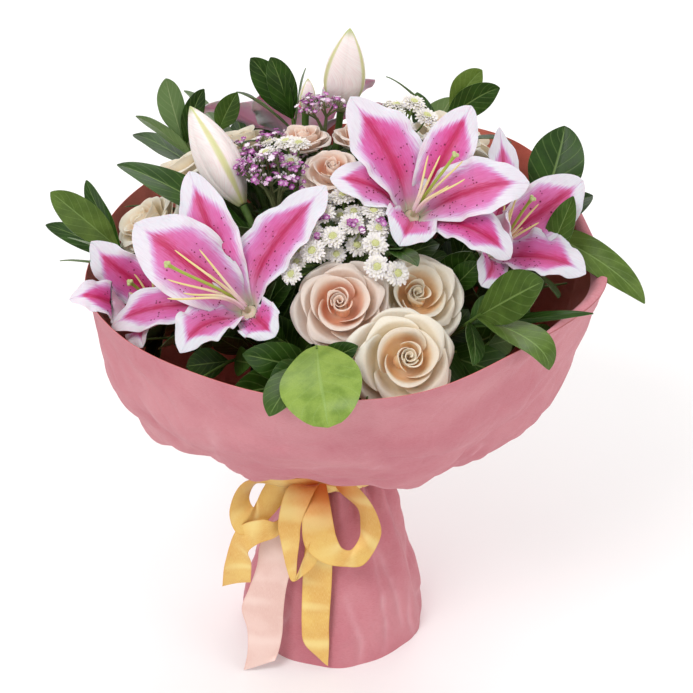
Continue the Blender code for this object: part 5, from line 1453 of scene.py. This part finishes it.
neighbours = [tree_of(n) for n in frame["nodes"] if not n.startswith("foliage")]
for leafy_name, (end, leaves) in LEAFY_STEMS.items():
    draw = random.Random(leafy_name)
    end = np.array(end, float)
    path, line = stem_line(waist_spots["foliage " + leafy_name], end, 3)
    above = path[3:]
    leafy_lines.append(line)
    foliage = Piece()
    radii = np.interp(np.linspace(0, 6, len(line)), [0, 4, 5, 6], [2.3, 2.3, 1.9, 1.3])
    foliage.add(*rod(line, radii, 12))
    for k, (share, *row) in enumerate(leaves):
        at = share * (len(above) - 1)
        low = min(int(at), len(above) - 2)
        base = above[low] + (at - low) * (above[low + 1] - above[low])
        found = room_for(base, row, neighbours)
        key = (leafy_name, k)
        if found:
            young = YOUNG_LEAVES.get(key, 0.0)
            turned = TURNED_LEAVES.get(key)
            add_leaf(foliage, base, row[0], row[1], *found, young, draw, key == HANGING_LEAF, turned)
    if leafy_name in SIDE_LEAVES:
        start, base, tip, half_width, face, rise = SIDE_LEAVES[leafy_name]
        stalk = [start, base, base + 0.05 * np.subtract(tip, base)]
        foliage.add(*rod(stalk, [1.0, 0.9, 0.8], 8))
        add_leaf(foliage, base, tip, half_width, rise, (0.0, 0.0), 0.1, draw, turned=(face, 1.0))
    foliage.make(f"foliage_{leafy_name}_leaves", leaf_look, "leaf_skin", [f"foliage_{leafy_name}"])
    neighbours.append(tree_of(f"foliage_{leafy_name}"))

flowers_and_paper = [
    tree_of(n) for n in frame["nodes"]
    if n.startswith(("paper", "ribbon", "lily_")) and not n.startswith("lily_stem") or n.endswith("bloom")
]
for stem_name, (fork, flowers, buds) in LILY_STEMS.items():
    fork = np.array(fork, float)
    _, line = stem_line(waist_spots["lily " + stem_name], fork, 2)
    stem = Piece()
    add_stem(stem, line, LILY_STEM_RADIUS, 20)
    ends = [(LILIES[flower][0], LILIES[flower][1]) for flower in flowers]
    ends += [(BUDS[bud][0], np.subtract(BUDS[bud][1], BUDS[bud][0])) for bud in buds]
    for base, way in ends:
        axis = unit(way)
        top = base - 2 * CLEARANCE * axis
        reach = np.linalg.norm(top - fork)
        below = fork - 5.0 * UP
        curve = bezier(below, below + 0.4 * reach * UP, top - 0.35 * reach * axis, top, 24)
        radii = np.interp(np.linspace(0, 1, len(curve)), [0, 0.3, 0.9, 1], [3.4, 2.9, 2.6, 2.8])
        leafy_lines.append(curve)
        add_stem(stem, curve, radii, 14)
    stem.make(f"lily_{stem_name}_stalk", stem_look, "stem_skin", [f"lily_stem_{stem_name}"])
    for base, tip, half_width in LILY_LEAVES.get(stem_name, []):
        rise, bend = room_for(base, (tip, half_width), flowers_and_paper)
        lily_leaf = Piece()
        add_leaf(lily_leaf, base, tip, half_width, rise, bend, 0.0, random.Random(5))
        lily_leaf.make("lily_leaf", leaf_look, "leaf_skin")


# Inner leaves: the dark leaves that stay on the stems under the flowers and fill the bouquet, and
# leafy side shoots that run out to the paper. A leaf is left out where there is no room for it.
INNER_LEAVES_TO_A_STEM = 9
INNER_LEAF_TRIES = 9
INNER_FROM = 236.0
INNER_BELOW_HEAD = 12.0
INNER_DEPTH = 0.95
INNER_MIDDLE = 10.0
SHOOT_FROM = (205.0, 262.0)
# Shoots: how far out each ring of them reaches, as a share of the rim, its height and their number
SHOOT_TARGETS = ((0.88, 296.0, 26), (0.78, 308.0, 20), (0.66, 320.0, 14), (0.50, 328.0, 9))
SHOOT_LEAVES = 8
SHOOT_STEPS = 14
GOLDEN_TURN = 2.39996

neighbours = [
    tree_of(n) for n in frame["nodes"] if not n.startswith("lily_stem") and not n.endswith("_stem")
]
inner_groups = {"front": Piece(), "back": Piece()}
draw = random.Random(77)


def inner_leaf(base, way, length):
    """A leaf from a point on a stem, if there is room for it."""
    start = base + 4.2 * way
    tip = start + length * way
    half_width = draw.uniform(0.26, 0.36) * length
    solid = plain_leaf(start, start + 1.12 * (tip - start), half_width + 2.5, LEAF_ARCH, (0.0, 0.0))
    high = np.linalg.norm((tip - DOME_CENTRE) / DOME_RADII) > INNER_DEPTH
    if high or any(solid.overlap(other) for other in neighbours):
        return False
    group = inner_groups["front" if base[1] < INNER_MIDDLE else "back"]
    group.add(*rod([base, start, start + 2.0 * way], [0.9, 0.8, 0.7], 6))
    add_leaf(group, start, tip, half_width, LEAF_ARCH, (0.0, 0.0), 0.0, draw, size=(12, 5))
    neighbours.append(solid)
    return True


shoot_starts = np.concatenate(
    [line[(line[:, 2] > SHOOT_FROM[0]) & (line[:, 2] < SHOOT_FROM[1])] for line in leafy_lines]
)
for share, height, count in SHOOT_TARGETS:
    for k in range(count):
        turn = 2 * math.pi * (k + 0.4 * draw.uniform(-1, 1)) / count
        wall = around(WRAP_RINGS[-1][:1], np.array([turn]))[0, 0]
        end = round_axis(share * wall, turn, height + draw.uniform(-9, 9))
        aim = 0.62 * end + (0.0, 0.0, 0.3 * height)
        start = shoot_starts[np.argmin(np.linalg.norm(shoot_starts - aim, axis=1))]
        run = end - start
        curve = bezier(start, start + 0.3 * run + 12 * UP, end - 0.3 * run + 6 * UP, end, SHOOT_STEPS)
        points, faces = rod(curve[2:], 1.3, 5)
        shoot = BVHTree.FromPolygons(points.tolist(), faces)
        if any(shoot.overlap(other) for other in neighbours):
            continue
        group = inner_groups["front" if start[1] < INNER_MIDDLE else "back"]
        group.add(*rod(curve, np.linspace(1.5, 0.8, SHOOT_STEPS), 7))
        side = unit(np.cross(run, UP))
        for j in range(SHOOT_LEAVES):
            at = curve[SHOOT_STEPS - 1 - 3 * (j // 2)]
            for attempt in range(INNER_LEAF_TRIES):
                lean = (-1) ** j * draw.uniform(0.3, 1.3) if j else draw.uniform(-0.3, 0.3)
                way = unit(unit(run) + lean * side + draw.uniform(-0.3, 0.8) * UP)
                if inner_leaf(at, way, draw.uniform(36.0, 56.0) * (1 - 0.05 * attempt)):
                    break
for line in leafy_lines:
    part = line[(line[:, 2] > INNER_FROM) & (line[:, 2] < line[-1][2] - INNER_BELOW_HEAD)]
    for k in range(INNER_LEAVES_TO_A_STEM if len(part) else 0):
        base = part[int((k + 0.5) / INNER_LEAVES_TO_A_STEM * len(part))]
        for attempt in range(INNER_LEAF_TRIES):
            angle = GOLDEN_TURN * k + draw.uniform(-1.2, 1.2)
            way = unit([math.cos(angle), math.sin(angle), draw.uniform(0.1, 1.1)])
            if inner_leaf(base, way, draw.uniform(34.0, 58.0) * (1 - 0.05 * attempt)):
                break
for group_name, group in inner_groups.items():
    group.make(f"inner_leaves_{group_name}", leaf_look, "leaf_skin")


# Button mums: small white heads, about 19 mm across, with short blunt ray petals in rings round a
# yellow-green button, on thin forked twigs.
MUMS = {
    "front": [
        (4, -48, 397), (19, -41, 398), (25, -60, 391), (10, -70, 387), (-3, -79, 382), (26, -84, 379),
        (-17, -88, 376), (27, -101, 371), (41, -101, 366), (-10, -62, 391), (-19, -74, 384),
    ],
    "left": [(-28, 15, 405), (-37, 22, 403)],
    "back": [(55, 44, 424), (64, 34, 418), (42, 92, 398)],
}
MUM_RADIUS = 9.5
# Rings of ray petals from the outside in: their number, reach, start and how far they stand up
MUM_RAYS = ((22, 1.0, 0.30, -0.06), (20, 0.92, 0.28, 0.28), (16, 0.78, 0.26, 0.62), (12, 0.60, 0.24, 1.0))
MUM_RAY_SHAPE = np.array([0.7, 1.15, 1.25, 0.55])
MUM_FLORETS = 26
# Smaller heads that open lower down, between the others: how many each spray has, how far they
# stand from the nearest and how far they lie below it
LOW_HEADS = {"front": 30, "left": 4, "back": 10}
LOW_HEAD_RADIUS = 8.2
LOW_HEAD_GAP = 10.0
LOW_HEAD_DROP = (1.0, 8.0)
LOW_HEAD_TRIES = 1500

look = Look("mum_petal", {"Specular IOR Level": 0.25, "Subsurface Weight": 0.35})
look.give({"Subsurface Radius": (0.002, 0.002, 0.001)})
grain = look.noise(700.0, 3.0)
white = look.mix(look.fade(look.field("along"), 0.0, 0.55), "#DADBB0", "#F3EEE6")
white = look.mix(look.fade(grain, 0.3, 0.7, 0.15, 0.0), white, "#DDD6CE", "MULTIPLY")
tone = look.mix(look.field("button"), white, look.mix(grain, "#BDC274", "#E0E0AC"))
tone = look.mix(look.field("twig"), tone, look.mix(grain, "#47602B", "#7E9450"))
look.give({"Base Color": tone, "Roughness": look.fade(grain, 0.3, 0.7, 0.5, 0.7)})
look.relief(grain, 0.15)


def facing(axis):
    """Two ways at right angles to the way that a small flower faces."""
    return square_to(axis, (0.3, 0.2, 0.9))


def small_petal(piece, spine, widths, face, cup, thickness, **fields):
    """A petal of three points across, its margins raised by a share of its half width."""
    grid, _, _ = blade(spine, widths, face, 3, cup * np.array([[1.0, 0.0, 1.0]]))
    piece.add_skin(grid, thickness, along=np.linspace(0, 1, len(spine))[:, None], **fields)


def mum_head(piece, head, axis, radius, draw):
    """One head: rings of rays, a button of florets and a cup."""
    sides = facing(axis)
    for level, (count, reach, start, tilt) in enumerate(MUM_RAYS):
        count = round(count * radius / MUM_RADIUS)
        for k in range(count):
            out = spoke(2 * math.pi * (k + 0.5 * level + 0.3 * draw.uniform(-1, 1)) / count, *sides)
            size = radius * reach * draw.uniform(0.88, 1.05)
            lean = tilt + 0.18 * draw.uniform(-1, 1)
            way = (size - start * radius) * unit(out * math.cos(lean) + axis * math.sin(lean))
            foot = head + start * radius * out + 0.05 * radius * axis
            tip = foot + way
            spine = bezier(foot, foot + 0.3 * way + 0.8 * axis, tip - 0.3 * way + 0.8 * axis, tip, 4)
            widths = 0.090 * radius * MUM_RAY_SHAPE * (1.15 - 0.1 * level)
            small_petal(piece, spine, widths, unit(axis + 0.01 * out), 0.35, 0.25)
    for k in range(MUM_FLORETS):
        share = math.sqrt((k + 0.5) / MUM_FLORETS)
        out = spoke(GOLDEN_TURN * k, *sides)
        foot = head + 0.28 * radius * share * out + radius * (0.26 - 0.14 * share * share) * axis
        piece.add(*rod([foot, foot + 0.9 * axis, foot + 1.5 * axis], [0.68, 0.82, 0.33], 5), button=1.0)
    cup = [head - 0.32 * radius * axis, head - 0.16 * radius * axis, head + 0.10 * radius * axis]
    piece.add(*rod(cup, [0.10 * radius, 0.34 * radius, 0.40 * radius], 14), twig=1.0)


def low_heads(heads, count, others, draw):
    """Places for the lower heads of a spray, clear of its other heads and of the other flowers."""
    found = []
    for _ in range(LOW_HEAD_TRIES):
        if len(found) == count:
            break
        near = draw.choice(heads)
        angle = draw.uniform(0, 2 * math.pi)
        away = draw.uniform(0.9, 1.9) * LOW_HEAD_GAP
        lower = -draw.uniform(*LOW_HEAD_DROP) - 0.25 * away
        point = near + round_axis(away, angle, lower)
        crowded = any(np.linalg.norm(point - h) < 1.35 * LOW_HEAD_GAP for h in heads)
        crowded = crowded or any(np.linalg.norm(point - f) < LOW_HEAD_GAP for f in found)
        crowded = crowded or any(
            math.hypot(point[0] - heart[0], point[1] - heart[1]) < 0.9 * radius + LOW_HEAD_RADIUS
            for heart, _, radius, _ in ROSES.values()
        )
        centre = Vector(point)
        if crowded or any(t.find_nearest(centre, 0.75 * LOW_HEAD_RADIUS)[0] for t in others):
            continue
        found.append(point)
    return found


def twigs(piece, fork, heads, radius):
    """Thin twigs from the fork, each to a few neighbouring heads."""
    middle = sum(heads) / len(heads)
    count = max(1, round(len(heads) / 4))
    turned = sorted(heads, key=lambda h: math.atan2(h[1] - middle[1], h[0] - middle[0]))
    ways = []
    for k in range(count):
        group = turned[k * len(heads) // count:(k + 1) * len(heads) // count]
        joint = 0.55 * fork + 0.45 * sum(group) / len(group)
        branch = [fork - 5 * UP, 0.5 * (fork + joint), joint + UP]
        piece.add(*rod(branch, [1.3, 1.25, 1.1], 8), twig=1.0)
        for head in group:
            leaving = unit(head - joint)
            start = joint + 0.5 * leaving
            axis = unit(outward(head) + 0.5 * unit(head - start))
            below = head - (0.30 * radius) * axis
            reach = np.linalg.norm(below - start)
            curve = bezier(start, start + 0.4 * reach * leaving, below - 0.4 * reach * axis, below, 8)
            piece.add(*rod(curve, np.linspace(0.8, 0.75, 8), 6), twig=1.0)
            ways.append((head, axis))
    return ways


blooms = [
    tree_of(n) for n in frame["nodes"]
    if n.startswith(("paper", "violet", "lily_")) and not n.startswith("lily_stem") or n.endswith("bloom")
]
for mum_name, rows in MUMS.items():
    draw = random.Random(mum_name)
    fork = np.array(MUM_FORKS[mum_name], float)
    spray = Piece()
    _, line = stem_line(waist_spots["mum " + mum_name], fork, 2)
    spray.add(*rod(line, SPRAY_STEM_RADIUS, 10), twig=1.0)
    heads = [np.array(h, float) for h in rows]
    for head, axis in twigs(spray, fork, heads, MUM_RADIUS):
        mum_head(spray, head, axis, MUM_RADIUS, draw)
    lower = low_heads(heads, LOW_HEADS[mum_name], blooms, draw)
    for head, axis in twigs(spray, fork, lower, LOW_HEAD_RADIUS) if lower else ():
        mum_head(spray, head, axis, LOW_HEAD_RADIUS * draw.uniform(0.85, 1.1), draw)
    spray.make(f"white_mums_{mum_name}", look, "mum_petal", [f"button_mums_{mum_name}"])


# Violet florets: clouds of tiny violet-pink flowers with six petals, some still closed, on hair-thin
# green twigs.
FLORET_RADIUS = 4.4
FLORET_TRIES = 500
FLORET_PETALS = 6
FLORET_PETAL_SHAPE = np.array([0.10, 0.25, 0.29, 0.08])
FLORETS_TO_A_TWIG = 10
MORE_VIOLETS = {
    "left": [(-73, 41, 397), (-64, 35, 394), (-55, 42, 400), (-45, 46, 400), (-71, 28, 390), (-59, 21, 388)],
}
STRAY_VIOLETS = [
    (10, -76, 391), (-9, -69, 391), (-12, -82, 384), (16, -78, 386), (30, -70, 388), (-23, -80, 382),
]
STRAYS_TO_A_TWIG = 4

look = Look("violet_petal", {"Roughness": 0.6, "Specular IOR Level": 0.25})
grain = look.noise(900.0, 3.0)
age = look.field("tone")
tone = look.mix(look.fade(age, 0.0, 0.8), "#94408C", "#C67ABB")
tone = look.mix(look.fade(age, 0.78, 0.88), tone, "#F4E9F2")
tone = look.mix(look.fade(look.field("along"), 0.0, 0.5, 0.7, 0.0), tone, "#F6EBF4")
tone = look.mix(look.fade(grain, 0.3, 0.7, 0.2, 0.0), tone, "#B27AAB", "MULTIPLY")
green = look.mix(grain, "#4D5A36", "#8A8F63")
look.give({"Base Color": look.mix(look.field("twig"), tone, green)})
look.relief(grain, 0.12)


def floret(piece, head, axis, radius, draw):
    """One open flower on a short tube."""
    sides = facing(axis)
    tone = draw.random()
    spin = draw.uniform(0, 6.28)
    opening = draw.uniform(0.15, 0.75)
    for angle in spin + turn_steps(FLORET_PETALS):
        out = spoke(angle, *sides)
        way = 0.85 * radius * unit(out * math.cos(opening) + axis * math.sin(opening))
        foot = head + 0.12 * radius * out
        tip = foot + way
        spine = bezier(foot, foot + 0.4 * way, tip - 0.3 * way + 0.3 * axis, tip, 4)
        face = unit(axis + 0.01 * out)
        small_petal(piece, spine, radius * FLORET_PETAL_SHAPE, face, 0.2, 0.22, tone=tone)
    tube = [head - 0.7 * radius * axis, head - 0.3 * radius * axis, head + 0.05 * radius * axis]
    piece.add(*rod(tube, [0.10 * radius, 0.17 * radius, 0.15 * radius], 6), tone=tone, along=0.3)


def floret_solid(point):
    """The pointed solid of one floret on its twig, to find room for it."""
    joint = point - (0, 0, 9)
    axis = unit(outward(point) + 0.5 * unit(point - joint))
    radius = 1.2 * FLORET_RADIUS
    brim = point - (0.18 * radius + 0.6) * axis
    sides = facing(axis)
    corners = [joint, point + 0.35 * radius * axis]
    for angle in turn_steps(4):
        out = spoke(angle, *sides)
        corners += [brim + 0.58 * radius * out, brim + radius * out]
    faces = []
    for k in range(4):
        a, b = 2 + 2 * k, 2 + 2 * ((k + 1) % 4)
        faces += [(0, b, a), (a, b, b + 1), (a, b + 1, a + 1), (1, a + 1, b + 1)]
    return BVHTree.FromPolygons([Vector(c) for c in corners], faces)


def tuft(piece, head, axis, draw):
    """A little spray of florets at the end of a twig."""
    sides = facing(axis)
    for k in range(FLORETS_TO_A_TWIG):
        angle = draw.uniform(0, 2 * math.pi)
        away = 0.0 if k == 0 else draw.uniform(3.0, 7.8)
        out = spoke(angle, *sides)
        top = head + away * out + draw.uniform(-4.5, 2.0) * axis
        way = unit(axis + 0.09 * away * out)
        low = head - 7.0 * axis
        piece.add(*rod([low, 0.5 * (low + top) - 0.5 * axis, top - 1.6 * way], [0.3, 0.28, 0.3], 5), twig=1.0)
        if k % 5 in (2, 4):
            bud = [top - 1.8 * way, top - 1.0 * way, top - 0.1 * way, top + 0.7 * way]
            piece.add(*rod(bud, [0.3, 0.8, 0.9, 0.2], 6), twig=0.35, tone=draw.uniform(0.7, 0.95))
            continue
        floret(piece, top, way, draw.uniform(2.0, 3.2), draw)


placed = [tree_of(n) for n in frame["nodes"] if not n.startswith(("foliage", "violet"))]
for violet_name, (centre, spread, count, fork) in VIOLET_CLUSTERS.items():
    draw = random.Random(count)
    fork = np.array(fork, float)
    places = []
    for _ in range(FLORET_TRIES):
        if len(places) == count:
            break
        angle = draw.uniform(0, 2 * math.pi)
        reach = math.sqrt(draw.random())
        x = spread[0] * reach * math.cos(angle)
        y = spread[1] * reach * math.sin(angle)
        z = draw.uniform(-0.5, 0.5) * spread[2] - 0.20 * reach * reach * spread[0]
        point = np.array(centre, float) + (x, y, z)
        apart = all(np.linalg.norm(point - other) > 1.7 * FLORET_RADIUS for other in places)
        if apart and not any(floret_solid(point).overlap(other) for other in placed):
            places.append(point)
    cloud = Piece()
    _, line = stem_line(waist_spots["violet " + violet_name], fork, 2)
    cloud.add(*rod(line, SPRAY_STEM_RADIUS, 10), twig=1.0)
    places += [np.array(p, float) for p in MORE_VIOLETS.get(violet_name, [])]
    for head, axis in twigs(cloud, fork, places, FLORET_RADIUS):
        tuft(cloud, head, axis, draw)
    cloud.make(f"violet_flowers_{violet_name}", look, "violet_petal", [f"violet_florets_{violet_name}"])

strays = Piece()
draw = random.Random(41)
stray_heads = [np.array(p, float) for p in STRAY_VIOLETS]
for head, axis in twigs(strays, np.array(MUM_FORKS["front"], float), stray_heads, FLORET_RADIUS):
    for _ in range(STRAYS_TO_A_TWIG):
        shift = np.array([draw.uniform(-2.5, 2.5), draw.uniform(-2.5, 2.5), draw.uniform(-0.5, 2.0)])
        floret(strays, head + shift, unit(axis + 0.12 * shift), draw.uniform(2.4, 3.2), draw)
strays.make("violet_flowers_among_mums", look, "violet_petal")
